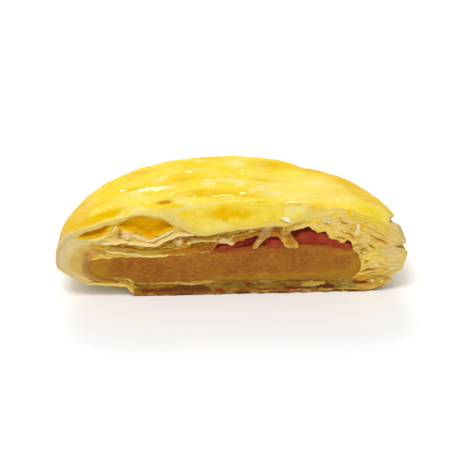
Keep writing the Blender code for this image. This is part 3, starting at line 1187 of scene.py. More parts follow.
@dataclass(frozen=True)
class Crust:
    """The outer shell of the pastry, with its torn front lip and the cavity behind the cut."""

    rows: int = 150  # rings from the back to the cut
    columns: int = 520  # points on a ring
    gather: float = 1.6  # how much closer the rings lie towards the cut
    lip_rows: int = 6
    wall_rows: int = 5
    cavity_rows: int = 14
    cavity_front: float = 0.84  # where the cavity's first ring lies, from the back, 0, to the cut, 1
    lip_width: float = 0.55
    lip_roll: float = 0.25  # how far the lip swells forward
    recess: float = 7.4  # how far the wall behind the lip runs back
    wall_draw: float = 1.4  # how far the wall behind the lip leans in
    sheet: float = 0.28  # thickness of a sheet of skin that has broken off
    wave_height: float = 0.30
    wrinkle_height: float = 0.15
    grain_height: float = 0.035
    fold_height: float = 0.15
    side_lumps: float = 0.22  # height of the lumps round the side
    side_layers: float = 0.10  # and of the layers there
    foot_spread: float = -0.8  # how far the base stands out at the right of the cut

    patches: Spots = spots(  # deeper yellow
        (-11.5, 17.5, 5, 2.6, 0.7), (9, 18.5, 6.5, 2, 0.7), (-23.6, 14.2, 1.8, 1.6, 0.9),
        (-5, 9.2, 8.5, 2.2, 0.85), (-5, 7.6, 7, 0.9, 0.8), (4, 6.6, 5, 0.7, 0.7), (7.5, 4.2, 1.6, 0.5, 1),
        (15, 3.9, 7, 0.6, 0.8), (28.6, 0.9, 1.2, 0.9, 1), (-30.3, 3.3, 5.2, 2, 1.7, 8),
        (0.4, 1.9, 6.5, 0.8, 1.1), (-31, 10, 4, 2, 0.5), (28, 12, 6, 3, 0.4), (-22, 26, 7, 5, 0.7),
        (12, 30, 8, 4, 0.7), (30, 22, 5, 6, 0.6), (-6, 34, 7, 3, 0.6),
    )
    blisters: Spots = spots(  # strength is the height
        (-9, 21.6, 3.4, 2.2, 0.6), (-20.5, 13.5, 4, 2.2, 0.45), (-15, 13.4, 2.6, 1.8, 0.4),
        (-26.4, 15.5, 2.8, 2, 0.35), (7.6, 8.7, 5, 2, 0.4), (15.1, 12.9, 3.6, 2.2, 0.4),
        (-1.5, 6.5, 3.6, 1.8, 0.3), (14.4, 5, 2.6, 1.4, 0.3), (22, 18, 4, 3, 0.3), (5, 25, 4.4, 3, 0.4),
        (-12, 30, 4.4, 3.2, 0.4), (27, 21, 3.4, 3, 0.3), (14, 33, 3.8, 3, 0.35), (-29, 24, 3.4, 3.2, 0.35),
        (-18, 1.8, 5, 1.6, 0.4), (-10, 27, 7, 6, 0.25), (-21.5, 0.2, 5.5, 2.6, 0.8),
    )
    dimples: Spots = spots(
        (-30, 2.9, 4.6, 1.2, 0.5, 12), (-24, 20, 5, 3, 0.3), (0, 14, 6, 2.4, 0.3), (14, 24, 9, 11, 2),
        (1, 26, 8, 10, 1.3), (24, 7, 5, 2.4, 0.25),
    )
    glosses: Spots = spots(  # where the wash is thick and wet
        (-9.2, 21.6, 1.6, 1, 1.2), (-20.6, 13.6, 2.4, 1.3, 1.3), (-15.3, 14, 1.6, 1, 1.4),
        (-17.6, 12.8, 1, 0.7, 1), (-26.2, 14.6, 0.9, 0.8, 1), (14.3, 4.7, 0.9, 0.5, 1.3),
        (8, 8.6, 1.8, 0.5, 1, 20), (-2.5, 6.8, 2.6, 0.4, 0.9), (2.8, 7.4, 1, 0.5, 0.8),
        (20, 31, 2.4, 1.6, 1.1), (-12, 35, 2.6, 1.4, 1.1), (6, 36, 2.2, 1.4, 1.1), (-30, 27, 1.8, 1.8, 1.1),
    )
    # The first spot is no fold but a painted highlight: a long pale streak across the top
    folds_and_highlight: Spots = spots(  # narrow pale folds of the skin
        (10.7, 13.9, 5.6, 0.6, 0.9, 27), (-26.4, 2.2, 0.8, 2.6, 0.9, -16), (-31, 0.8, 4.5, 0.7, 0.8, 5),
        (-10, 3.1, 5, 0.4, 0.8, 12), (-2, 3.6, 4, 0.3, 0.7, 6), (-20, 9.2, 3.5, 0.6, 0.4),
        (20, 1.2, 5, 0.8, 0.8, -14), (24.5, 1.7, 2.6, 0.35, 0.8, -32),
    )
    freckles: Spots = spots(
        (-16.1, 5.8, 1.4, 1.25, 1.7), (14, 34, 1.2, 0.8, 0.8),
    )
    clouds: Spots = spots(  # where the wash is thin and pale
        (19, 16, 11, 7, 1), (13, 8, 5, 2.2, 0.8), (26, 7, 5, 3, 0.8), (-26, 9, 5, 2, 0.5),
        (-10, 11, 6, 3, 0.1),
    )
    notches: tuple[Notch, ...] = (
        Notch(19.9, 0.6, 2.4, 0.25, 38),
        Notch(12.5, 0.7, 3, -0.1, 33),
        Notch(4.6, 0.6, 0.9, 0.3, 33),
    )
    torn: Line = (  # how far the front edge stands behind the cut, at places along X
        (-42, 0), (-36, 0.1), (-30, 0.2), (-24, 0.3), (-18, 0.2), (-13.5, 0), (-9.5, -0.6), (-3, -0.9),
        (3, -0.7), (9, -0.9), (12.5, -1.1), (15, -0.4), (18, 0.1), (30, 0.3), (42, 0.1),
    )
    outer_sheet: Line = (  # where the first sheet of skin ends, behind the cut
        (-17, -1.5), (-14, 0.3), (-12, 1.1), (-7.8, 2.1), (-4.4, 2.4), (0.7, 2.9), (6.4, 3.3), (14.2, 3.6),
        (19, 2.9), (24, 1.6), (29, 0.2), (33, -1.5),
    )
    second_sheet: Line = (
        (-13, -1.5), (-10.5, 0.6), (-9, 1.2), (-2, 1.1), (6.6, 0.8), (14.2, 0.8), (18, -0.4), (20, -1.5),
    )

    def sheet_steps(self, base: Points) -> tuple[Array, Array]:
        """How far each of the two outer sheets has gone: 0 where it is whole, 1 in front of its edge.

        Args:
            base: points of the smooth surface

        Returns:
            (the outermost sheet's share, the second one's).
        """
        noise = Noise(Seed.SHEETS)
        x, behind = base[..., 0], base[..., 1] - CUT_Y
        ragged = 0.28 * noise.at(base, (2, 2, 2), 2)
        top = base[..., 2] > CAKE.equator
        first = smoothstep(0.5 + (course(self.outer_sheet, x) + ragged - behind) / 0.28)
        second = smoothstep(0.5 + (course(self.second_sheet, x) + 0.7 * ragged - behind) / 0.24)
        return first * top, second * top

    def relief(self, base: Points) -> Array:
        """Height of the skin over the smooth surface: waves, soft wrinkles, blisters, dimples and steps.

        Args:
            base: points of the smooth surface

        Returns:
            Millimetres for each point.
        """
        noise = Noise(Seed.CRUST)
        x, behind = base[..., 0], base[..., 1] - CUT_Y
        top = step_up(base[..., 2], 7, 8)
        waves = self.wave_height * noise.at(base, (13, 8, 9), 2)
        wrinkles = self.wrinkle_height * noise.at(base + 40, (7, 3, 4), 2)
        fine = self.grain_height * noise.at(base, (1.6, 1.1, 1.2), 2)
        bumps = spotted(self.blisters, x, behind) - spotted(self.dimples, x, behind)
        bumps = bumps + self.fold_height * spotted(self.folds_and_highlight, x, behind)
        first, second = self.sheet_steps(base)
        side = self.side_lumps * noise.at(base + 9, (6, 6, 1.6), 2)
        side = side + self.side_layers * noise.at(base + 70, (9, 9, 0.8), 2)
        foot = step_up(base[..., 2], 0, 2)
        raised = top * (waves + wrinkles + fine + bumps) + (1 - top) * side
        return foot * raised - self.sheet * (first + 0.8 * second)

    def notched(self, base: Points) -> Array:
        """How far the right-hand edge is drawn in at the gaps between its leaves.

        Args:
            base: points of the smooth surface

        Returns:
            Millimetres for each point.
        """
        x, behind, z = base[..., 0], base[..., 1] - CUT_Y, base[..., 2]
        total = sum(notch.drawn_in(x, behind, z) for notch in self.notches)
        frayed = step_up(x, 34, 5) * step_up(z, 0, 3)
        fade = 1 - step_up(behind, 1, 6)
        return total + frayed * fade * (0.1 + 0.5 * Noise(Seed.FRAY).at(base, (9, 9, 1.2), 2))

    def surface(self, columns: int) -> Points:
        """The outer surface as rings from the back to the cut, each of so many columns.

        Args:
            columns: points on a ring

        Returns:
            The rings.
        """
        base = CAKE.surface(half_ball(self.rows, columns, gather=self.gather))
        grown = base + outward(base) * self.relief(base)[..., None]
        grown[..., 0] -= self.notched(base)
        spread = step_up(grown[..., 0], 26, 8) * near(grown[..., 2], 3)
        grown[..., 0] += self.foot_spread * spread * near(base[..., 1] - CUT_Y, 12)
        grown[..., 2] = np.maximum(grown[..., 2], 0)
        grown[..., 1] += near(grown[..., 1] - CUT_Y, 7) * self.edge(grown[-1])[None, :]
        return grown

    def edge(self, rim: Points) -> Array:
        """How far the torn front edge stands behind the cut along the rim, negative where it is before it.

        Args:
            rim: the crust's outline in the plane of the cut

        Returns:
            Millimetres for each point.
        """
        noise = Noise(Seed.TORN_EDGE)
        top = step_up(rim[..., 2], 12, 4)
        ragged = 0.26 * noise.at(rim, 2.4, 2) + 0.14 * noise.at(rim, 0.8)
        ragged = ragged * (1 + 1.4 * step_up(rim[..., 0], 15, 4))
        return top * (course(self.torn, rim[..., 0]) + ragged) + (1 - top) * 0.25 * noise.at(rim, 2.5, 2)

    def lip(self, rim: Points) -> Array:
        """Width of the lip along the rim: thin, wider at the left end where the skin's edge is pale.

        Args:
            rim: the crust's outline in the plane of the cut

        Returns:
            Millimetres for each point.
        """
        wide = 0.5 * step_down(rim[:, 0], -24, 6) * step_up(rim[:, 2], 12, 4)
        width = self.lip_width * (1 - 0.7 * step_up(rim[:, 0], 29, 5)) + wide
        return width * (1 + 0.45 * Noise(Seed.LIP).at(rim, 4, 2))

    def build(self, material: Material) -> None:
        """Makes the shell: outer surface, rounded lip, wall back into the recess, and the paste's cavity.

        Args:
            material: the egg-washed finish
        """
        outer = self.surface(self.columns)
        rim = outer[-1]
        inner = inwards(rim, self.lip(rim))
        turn = (np.linspace(0.15, 1, self.lip_rows) * math.pi * 0.5)[:, None]
        lip = blend(rim[None], inner[None], 1 - np.cos(turn)[..., None])
        lip[..., 1] -= self.lip_roll * np.sin(turn) * np.cos(turn)
        share = np.linspace(0.1, 1, self.wall_rows)[:, None]
        far = inwards(rim, self.lip(rim) + self.wall_draw)
        wall = blend(inner[None], far[None], share[..., None])
        wall[..., 1] = blend(inner[:, 1], CUT_Y + self.recess, share)
        cavity = PASTE.surface(half_ball(self.cavity_rows, self.columns, self.cavity_front)[::-1], PASTE.gap)
        roof = PASTE.roof(cavity[..., 0], cavity[..., 1])
        above = cavity[..., 2] > PASTE.middle
        cavity[..., 2] = np.where(above, np.maximum(cavity[..., 2], roof), cavity[..., 2])
        rings = np.concatenate([outer, lip, wall, cavity])
        part = np.concatenate(
            [
                np.zeros(self.rows),
                np.linspace(0.5, 1, self.lip_rows),
                np.linspace(2, 3, self.wall_rows),
                np.full(self.cavity_rows, 3),
            ]
        )[:, None] * np.ones(self.columns)
        skin = Skin("crust")
        skin.ringed(rings, self.marks(rings, part))
        skin.made(material, Slot.PASTRY, "flaky_pastry")

    def browned(self, x: Array, behind: Array, level: Array) -> Array:
        """How brown the skin is: a band round the shoulder, wider at the left end and at the back right.

        Args:
            x: places along X
            behind: distances behind the cut
            level: heights, made uneven

        Returns:
            A number for each place.
        """
        out = np.hypot(x, behind) / CAKE.radius
        left = step_down(x, -26, 8) * near(behind, 20)
        band = smoothstep((out - 0.82 + 0.12 * left) / 0.17) * step_up(level, 10, 3)
        band = band * (1 - step_up(level, 18.5, 3)) * (1 + 0.5 * left)
        shoulder = step_up(x, 14, 8) * step_up(behind, 5, 5) * step_up(level, 13, 3)
        return np.maximum(band, 0.9 * shoulder * step_up(out, 0.7, 0.12))

    def marks(self, rings: Points, part: Array) -> Marks:
        """Where the glaze lies, where it is deeper, browner or faded, and where the lip, base and inside are.
        The inside takes a painted amber glow, and one fold is a painted highlight.

        Args:
            rings: every ring of the shell
            part: 0 on the outside, up to 1 on the lip, from 2 to 3 on the walls inside

        Returns:
            The marks for the finish.
        """
        noise = Noise(Seed.GLAZE)
        x, behind, z = rings[..., 0], rings[..., 1] - CUT_Y, rings[..., 2]
        outside = part < 0.1
        level = z + 1.6 * noise.at(rings, (7, 7, 4), 2)
        warp_x, warp_y = 1.6 * noise.at(rings, 5, 2), 0.5 * noise.at(rings + 50, 3, 2)
        wide = x + warp_x, behind + warp_y
        tight = x + 0.3 * warp_x, behind + 0.5 * warp_y
        patch = spotted(self.patches, *wide)
        shown = unit(patch) * outside
        # the first fold spot paints a highlight streak
        fold_and_highlight = spotted(self.folds_and_highlight, *tight) * (z > 15)
        from_edge = rings[..., 1] - rings[self.rows - 1, :, 1] + 0.6 * warp_x
        arch = step_up(x, -28, 4) * (1 - step_up(x, -12, 6))
        fade = arch * near(from_edge, 3.4) * step_up(z, 17, 2)
        broken = step_up(x, 14, 4) * step_down(x, 33, 6)
        rim = near(from_edge, 1.3 + 2.6 * broken) * (0.35 + 0.5 * step_down(x, -22, 6) + 0.5 * broken)
        first, second = self.sheet_steps(rings)
        lip = step_up(part, 0.2, 0.5) + outside * (rim + 0.3 * second + 0.2 * first * (1 - second))
        base = smoothstep((2.2 - z + 0.8 * noise.at(rings + 20, 3, 2)) / 1.6) * (part < 1.5)
        pale = step_up(np.abs(x), 33, 6) * near(behind, np.where(x < 0, 9, 16))
        pale = pale * np.where(x < 0, 0.9, 0.55 + 0.35 * step_up(z, 10, 3))
        unwashed = 4.5 * step_up(np.abs(x), 32, 7) * near(behind, 16)
        unwashed = unwashed + 2.5 * step_up(x, 36.5, 3) * near(behind, 18)
        return {
            "glaze": smoothstep((level - 10.5 - unwashed) / 3.5),
            "patch": np.clip(patch, 0, 1.1),
            "freckle": np.clip(spotted(self.freckles, *tight), 0, 0.95),
            "thin": unit(spotted(self.clouds, *wide)),
            "gloss": np.clip(spotted(self.glosses, x, behind), 0, 1.3),
            "brown": self.browned(x, behind, level),
            "fade": unit(fade) * (1 - shown),
            "fold_and_highlight": np.clip(fold_and_highlight, 0, 0.9) * outside * (1 - 0.7 * shown),
            "lip": unit(lip) * (1 - base) * (1 - 0.9 * shown),
            "pale": pale,
            "base": base,
            # the inside walls and cavity, which take the painted glow
            "deep": smoothstep(part - 1.5),
        }


# ---- The face of the cut ----


@dataclass(frozen=True)
class Pocket:
    """A gap between leaves that opens at the cut, between a ceiling and a floor of (x, z) places."""

    ceiling: Line
    floor: Line
    depth: float
    soft: float = 0.5

    def share(self, x: Array, z: Array, margin: float = 0.0) -> Array:
        """1 well inside and 0 outside, eased over soft millimetres. The margin widens it below its floor.

        Args:
            x: places along X
            z: heights
            margin: how far below its floor it still counts

        Returns:
            0 to 1 for each place.
        """
        inside = np.minimum(course(self.ceiling, x) - z, z + margin - course(self.floor, x))
        ends = (x > self.ceiling[0][0]) & (x < self.ceiling[-1][0])
        return smoothstep(inside / self.soft) * ends


class CutGrid:
    """Places on the cut, with the windows and the noise that its relief and its marks share.

    The dough is a stack of sheets between the crust and the filling. Across each one the surface goes back
    from its lip by a power of the share of the way, and comes forward again at the lip of the next. The lips
    look down over the filling and up under it. At the right the sheets fan out round a point.

    Attributes:
        face, x, z: the places
        t: share of the way in from the crust to the filling
        width: length of that way
        left: 1 in the smooth left end
        right: 1 in the flaky right end
        tip: 1 at the far right
        shingle: how far back the sheet lies, from 0 at its lip
        from_lip: share of the way across the sheet
        stand: how clearly the sheet stands out
        proud: how far it stands before the others
        under_lip: 1 in the gap between the skin's lip and the filling
        lumps, strands, crumbly, ragged: unevenness from coarse to fine
        near_x, near_z: the places as the spots' uneven outlines take them
        pocket_z: the same for the outlines of the gaps
    """

    def __init__(self, face: Points, t: Array, outer: Points, inner: Points) -> None:
        """Works out the fields.

        Args:
            face: places on the cut
            t: share of the way in
            outer: the dough's outer boundary
            inner: its inner boundary
        """
        noise = Noise(Seed.CUT)
        self.noise, self.face, self.t = noise, face, t
        x, z = face[..., 0], face[..., 2]
        self.x, self.z = x, z
        flat = np.zeros_like(x)
        self.width = np.linalg.norm(outer - inner, axis=1)[None, :]
        self.left = step_down(x, -32, 4)
        self.right = step_up(x, 14, 6) * step_up(z, 3, 3)
        self.tip = step_up(x, 36, 3.5)
        warp = 0.9 * noise.at(face, (9, 9, 4), 2) + 0.3 * noise.at(face, (2, 2, 1.4), 2)
        fanned = z + 0.05 * (z - 7) * (x - 32)
        layer = blend(t * SHEETS, SHEETS - 0.65 * fanned, step_up(x, 27, 5))
        layer = layer + warp + 0.12 * noise.at(face + 30, (0.6, 1, 0.6))
        number = np.floor(layer)
        share = layer - number
        length = np.broadcast_to(along(outer)[None, :], x.shape) / 5
        here, above = (stacked(length, n * 3.7, flat) for n in (number, number - 1))
        upward = (outer[:, 2] - inner[:, 2])[None, :] / self.width
        over = smoothstep((upward + 0.75) / 0.5)
        self.stand = smoothstep(0.45 + 1.2 * noise.at(here, 1, 3))
        pushed_above, pushed = noise.at(above + 9, 1, 3), noise.at(here + 9, 1, 3)
        self.proud = blend(pushed_above, pushed, step_up(share, 0, 0.15))
        self.shingle = blend(share**0.8, (1 - share) ** 0.8, over)
        self.from_lip = blend(share, 1 - share, over)
        self.lumps = noise.at(face + 60, (2.2, 2, 1.5), 3)
        self.strands = noise.at(stacked(x, flat, fanned + 0.5 * warp), (1.6, 1, 0.7), 3)
        self.crumbly = noise.at(face + 15, (0.8, 1, 0.55), 2)
        self.ragged = 0.08 * noise.at(face, (0.6, 1, 0.5), 2)
        wave = 0.35 * noise.at(face + 70, (3, 3, 3), 2)
        self.near_x, self.near_z, self.pocket_z = x + wave, z + 0.7 * wave, z + 0.6 * wave
        paste_top = PASTE.top_height(x, CUT_Y + flat)
        gap = smoothstep((course(MAIN_LIP, x) + 0.4 - z) / 0.6) * smoothstep((z - paste_top + 0.6) / 0.6)
        gap = gap * step_up(x, -36, 3) * (1 - step_up(x, 10, 3)) * (z > 10)
        self.under_lip = gap * (0.45 + 0.55 * step_up(x, -20, 8))

    def over_hollow(self, start: float, soft: float) -> Array:
        """1 in the dough over the hollow, from a share of the way in and eased over another."""
        ends = step_up(self.x, BROW_START, 2) * step_down(self.x, BROW_END, 2)
        return ends * step_up(self.t, start, soft) * (self.z > 11)

    def spotted(self, table: Spots) -> Array:
        """The sum of all the spots, with uneven outlines."""
        return spotted(table, self.near_x, self.near_z)


@dataclass(frozen=True)
class CutFace:
    """The laminated dough on the cut, between the crust's lip and the filling."""

    columns: int = 820  # points round the cut
    rows: int = 102  # rings from the crust to the filling
    back: float = 6.8  # how far behind the cut the dough's back lies
    wall_rows: int = 5
    join: float = 1.1  # over how far the dough comes forward to the crust's lip
    drawn: float = 1.2  # how far the ring's back leans in
    overlap: float = 0.35  # how far the dough's crumbs hang over the edge of the paste
    sheet_depth: float = 0.85  # how far a sheet goes back from its lip
    sheet_proud: float = 0.30  # how far one stands before another
    lump_height: float = 0.22
    strand_height: float = 0.22
    crumb_height: float = 0.10
    pit_depth: float = 1.1
    cream_height: float = 0.25
    gap_depth: float = 0.6  # of the gap under the skin's lip

    pockets: tuple[Pocket, ...] = (
        Pocket(
            ((-27.8, 19.3), (-24.2, 21.7), (-21.3, 22.5), (-18.6, 21.2), (-16.4, 21.2), (-13, 19.6)),
            ((-27.8, 19.3), (-24.2, 18.6), (-19.8, 16.3), (-16, 17.9), (-13, 19.6)),
            2.8,
            0.8,
        ),
        Pocket(
            ((-37, 16.9), (-34, 19.2), (-31.5, 20.2), (-28.6, 20.1)),
            ((-37, 16.8), (-33, 16.9), (-31, 17.6), (-28.6, 20)),
            2.2,
        ),
    )
    # gaps along the bottom: browned underside, darkened further as painted shade
    bottom_gaps: tuple[Pocket, ...] = (
        Pocket(
            ((-18.6, 0.9), (-16.4, 1.9), (-13.2, 2.6), (-10.3, 2.7), (-6.6, 2.3), (-5, 0.9)),
            ((-18.6, 0.8), (-13.9, 0.7), (-5, 0.7)),
            0.9,
        ),
        Pocket(((20.4, 1), (22, 2.4), (24.4, 2.2), (26, 0.9)), ((20.4, 0.9), (26, 0.7)), 1.2),
    )
    creams: Spots = spots(
        (-39, 13.4, 1.6, 1.2, 0.8), (-31, 15.4, 4, 0.9, 0.8, 6), (-36.5, 5.4, 2.6, 0.7, 0.8, -32),
        (-2, 15, 1.8, 0.9, 0.9), (3.6, 16.9, 1.6, 0.6, 0.8, 20), (8.6, 18, 1.4, 2, 0.9, -30),
        (6.6, 14.6, 0.9, 2.4, 0.55, -26), (0, 13.8, 1, 0.8, 0.9), (18.5, 21.6, 3.6, 0.8, 0.9, -14),
        (24, 19.9, 4.8, 0.55, 0.9, -31), (17, 18.9, 3, 0.6, 0.7, 8), (27, 20.6, 2.6, 0.5, 1, -33),
        (32, 14.2, 1.6, 1.2, 0.9), (37.5, 11.4, 1.8, 1.4, 0.8), (34.9, 7.3, 1.4, 1.3, 0.8),
        (39.5, 8.6, 1.4, 2, 0.7), (19.5, 2.1, 2.8, 0.8, 1.2, 4), (29.5, 4.7, 1, 0.5, 0.9),
        (7.8, 3, 4, 0.5, 0.5), (-9.5, 3.1, 5, 0.35, 0.8),
    )
    bulges: Spots = spots(  # pale lumps of dough, strength is how far they stand out
        (-25.3, 16.9, 1.5, 1.6, 1), (-12.8, 14.7, 1.3, 1.9, 1, 10),
    )
    shades: Spots = spots(
        (-27, 17.5, 0.7, 1.4, 1), (-35.2, 12, 0.9, 0.7, 0.8), (5.4, 18.7, 1.4, 0.35, 1, 14),
        (11.2, 18, 0.9, 0.8, 1), (14, 14.6, 1.6, 2.8, 0.85, 28), (27.1, 19.3, 1.2, 0.3, 1, -14),
        (27.6, 16.5, 1.7, 0.35, 1, -20), (26.2, 15.1, 1.5, 0.4, 1, -18), (22.6, 19, 1.6, 0.35, 0.8, -28),
        (34.5, 15, 2.2, 0.3, 0.8, -30), (36.5, 13.8, 2, 0.3, 0.8, -34), (33.6, 17.2, 2.4, 0.3, 0.6, -26),
        (-30, 3.8, 7, 1.4, 1, -14), (32.5, 3, 3.6, 2, 0.6),
    )
    pits: Spots = spots(
        (29.6, 12.8, 1.2, 0.45, 1, 10), (31.8, 11, 0.9, 0.7, 1.2, -40), (30.3, 8.3, 1.1, 0.4, 1, 20),
        (32.6, 7.9, 0.8, 0.4, 1, 30), (33.8, 12.1, 1.2, 0.3, 0.9, -30), (33, 5.7, 2.2, 0.3, 0.9, 8),
        (29, 15, 1, 0.4, 0.8, -50),
    )
    # small amber gaps with the same painted glow; the lowest is an orange-gold patch of the dough
    ambers: Spots = spots(
        (31.5, 18.4, 0.8, 0.7, 1), (35.6, 16.2, 1.6, 0.6, 0.5, -30), (32.5, 2.9, 4, 1.1, 0.5),
    )
    russets: Spots = spots(
        (-20.6, 1.2, 2, 0.7, 1.1, -10), (14.6, 1, 2.2, 0.7, 1), (31.4, 2.2, 2.2, 0.45, 1.1, -6),
        (-3, 0.9, 1.2, 0.8, 1.3), (-16.5, 1.4, 2.2, 0.8, 1.2, 10), (2.6, 0.8, 0.9, 0.5, 1.3),
        (3.9, 2.4, 0.7, 0.6, 1.4), (8.6, 0.7, 3, 0.4, 0.8), (18.5, 0.3, 3, 0.4, 0.8),
        (-15.8, 15.2, 1.2, 0.5, 0.6, 30),
    )

    def inner_boundary(self) -> tuple[Points, Array, Array]:
        """The edge of the dough round the paste on the cut, with the hollow's ragged brow.

        Returns:
            (edge, x at which the dough's line to each point leaves the skin, share of the brow there).
        """
        ring = PASTE.surface(half_ball(1, self.columns), -self.overlap)[0]
        crumbs = np.maximum(Noise(Seed.DOUGH_CRUMBS).at(ring, 2.2, 2), 0)
        crumbs = 1.8 * step_up(ring[:, 0], 20, 6) * crumbs
        ring = inwards(ring, 0.35 * Noise(Seed.DOUGH_EDGE).at(ring, 1.6, 3) + crumbs)
        line = smooth_path(HOLLOW_BROW, 800)
        share = (ring[:, 0] - BROW_START) / (BROW_END - BROW_START)
        over = (ring[:, 2] > PASTE.middle) & (share > 0) & (share < 1)
        x, z, leaves = (np.interp(share, np.linspace(0, 1, len(line)), values) for values in line.T)
        brow = stacked(x, ring[:, 1], z)
        brow[:, 2] += 0.3 * Noise(Seed.BROW_HEIGHT).at(brow, (1.1, 9, 1.1), 2)
        brow[:, 0] += 0.25 * Noise(Seed.BROW_PLACE).at(brow, (1.3, 9, 0.9), 2)
        opened = over * step_up(share, 0, 0.05) * step_down(share, 1, 0.05)
        return blend(ring, brow, opened[:, None]), leaves, opened

    def build(self, crust: Crust, material: Material) -> Points:
        """Makes the laminated ring: its front is a relief of sheets and gaps, and its back is plain.

        Args:
            crust: the shell that it sits in
            material: the crumb's finish

        Returns:
            The front face as rings from the crust to the filling.
        """
        rim = crust.surface(self.columns)[-1]
        inner, leaves, opened = self.inner_boundary()
        length = along(rim)
        upper = rim[:, 2] > CAKE.equator
        wanted = np.interp(leaves, rim[upper, 0][::-1], length[upper][::-1])
        wanted = blend(length, wanted, opened)
        rim = stacked(*(np.interp(wanted, length, values) for values in rim.T))
        lip_at = rim[:, 1] - CUT_Y
        rim[:, 1] = CUT_Y
        flaky = step_up(rim[:, 0], 12, 4) * (rim[:, 2] > CAKE.equator)
        outer = inwards(rim, (0.7 - 0.5 * flaky) * crust.lip(rim))
        t = np.linspace(0, 1, self.rows)[:, None, None]
        front = blend(outer[None], inner[None], t)
        grid = CutGrid(front, t[..., 0], outer, inner)
        depth, marks = self.relief(grid), self.marks(grid)
        joined = smoothstep(1 - t[..., 0] * np.linalg.norm(outer - inner, axis=1) / self.join)
        depth = blend(depth, lip_at + 0.1 - 0.26 * flaky, joined)
        front[..., 1] = CUT_Y + depth
        share = np.linspace(0.15, 0.9, self.wall_rows)[:, None]
        wall_in = np.repeat(front[-1:], self.wall_rows, axis=0)
        wall_in[..., 1] = blend(front[-1, :, 1], CUT_Y + self.back, share)
        roof = PASTE.roof(wall_in[..., 0], wall_in[..., 1])
        raised = np.clip((roof - inner[:, 2]) / np.maximum(outer[:, 2] - inner[:, 2], 1), 0, 0.85)
        raised = raised * opened * step_up(share, 0, 0.35)
        for axis in (0, 2):
            wall_in[..., axis] += raised * (outer[:, axis] - inner[:, axis])
        drawn = inwards(rim, crust.lip(rim) + self.drawn)
        back = blend(drawn[None], wall_in[-1:], np.linspace(1, 0, 6)[:, None, None])
        back[..., 1] = CUT_Y + self.back
        wall_out = blend(drawn[None], front[:1], share[..., None])
        wall_out[..., 1] = blend(CUT_Y + self.back, front[0, :, 1], share)
        rings = np.concatenate([front, wall_in, back, wall_out])
        rest = len(rings) - self.rows
        skin = Skin("laminated_cut")
        carried = {key: np.concatenate([v, np.repeat(v[-1:], rest, axis=0)]) for key, v in marks.items()}
        skin.looped(rings, carried)
        skin.made(material, Slot.PASTRY)
        return front

    def relief(self, cut: CutGrid) -> Array:
        """Depth behind the cut's plane: sheets, crumbs, spots, gaps, and an even edge at the paste.

        Args:
            cut: the places on the cut and what they share

        Returns:
            Millimetres for each place.
        """
        z, lumps = cut.z, cut.lumps
        scale = np.clip(cut.width / 6, 0.3, 1) * (1 - 0.92 * cut.left) * (1 - 0.8 * cut.right)
        depth = 0.4 - 0.25 * np.maximum(cut.left, cut.right)
        depth = depth + scale * (self.sheet_depth * cut.shingle * cut.stand - self.sheet_proud * cut.proud)
        depth = depth + cut.ragged
        flaky = self.lump_height * lumps + self.strand_height * cut.strands + self.crumb_height * cut.crumbly
        depth = depth - cut.right * flaky
        depth = depth + self.pit_depth * cut.spotted(self.pits) - self.cream_height * cut.spotted(self.creams)
        depth = depth - cut.spotted(self.bulges)
        depth = depth + 0.3 * step_down(z, 4.2, 1.5) * cut.noise.at(cut.face + 90, (1.4, 1.4, 0.9), 3)
        depth = depth + self.gap_depth * cut.under_lip
        at_paste = 0.8 * step_up(cut.t, 0.8, 0.2) * (1 - cut.left)
        depth = blend(depth, 0.05 + 0.3 * step_down(z, 5.5, 1.5) + 0.3 * lumps, at_paste)
        fringe = -0.1 + 0.2 * lumps + 0.25 * cut.strands + cut.ragged
        depth = blend(depth, fringe, 0.8 * cut.over_hollow(0.45, 0.3))
        for pocket in self.pockets:
            depth = blend(depth, pocket.depth, pocket.share(cut.x, cut.pocket_z))
        for bottom_gap in self.bottom_gaps:
            depth = blend(depth, bottom_gap.depth, bottom_gap.share(cut.near_x, cut.pocket_z))
        return depth

    def marks(self, cut: CutGrid) -> Marks:
        """How the dough is baked and torn, with painted shade in its gaps and a painted glow in its pockets,
        as the crumb's finish takes it.

        Args:
            cut: the places on the cut and what they share

        Returns:
            The marks for the finish.
        """
        x, z, t, left, right = cut.x, cut.z, cut.t, cut.left, cut.right
        # the pockets, which take a painted amber glow
        hollow = np.maximum.reduce([pocket.share(x, cut.pocket_z, 0.7) for pocket in self.pockets])
        # the gaps along the bottom, browned and with painted shade
        browned_gap_shade = np.maximum.reduce([bottom_gap.share(cut.near_x, cut.pocket_z, 0.6) for bottom_gap in self.bottom_gaps])
        solid = 1 - hollow
        buttery = step_up(x, 15, 4) * step_up(z, 11, 4) * near(t * cut.width - 0.9, 1.2)
        shade = 0.9 * cut.under_lip + cut.spotted(self.shades) + 0.8 * cut.spotted(self.pits)
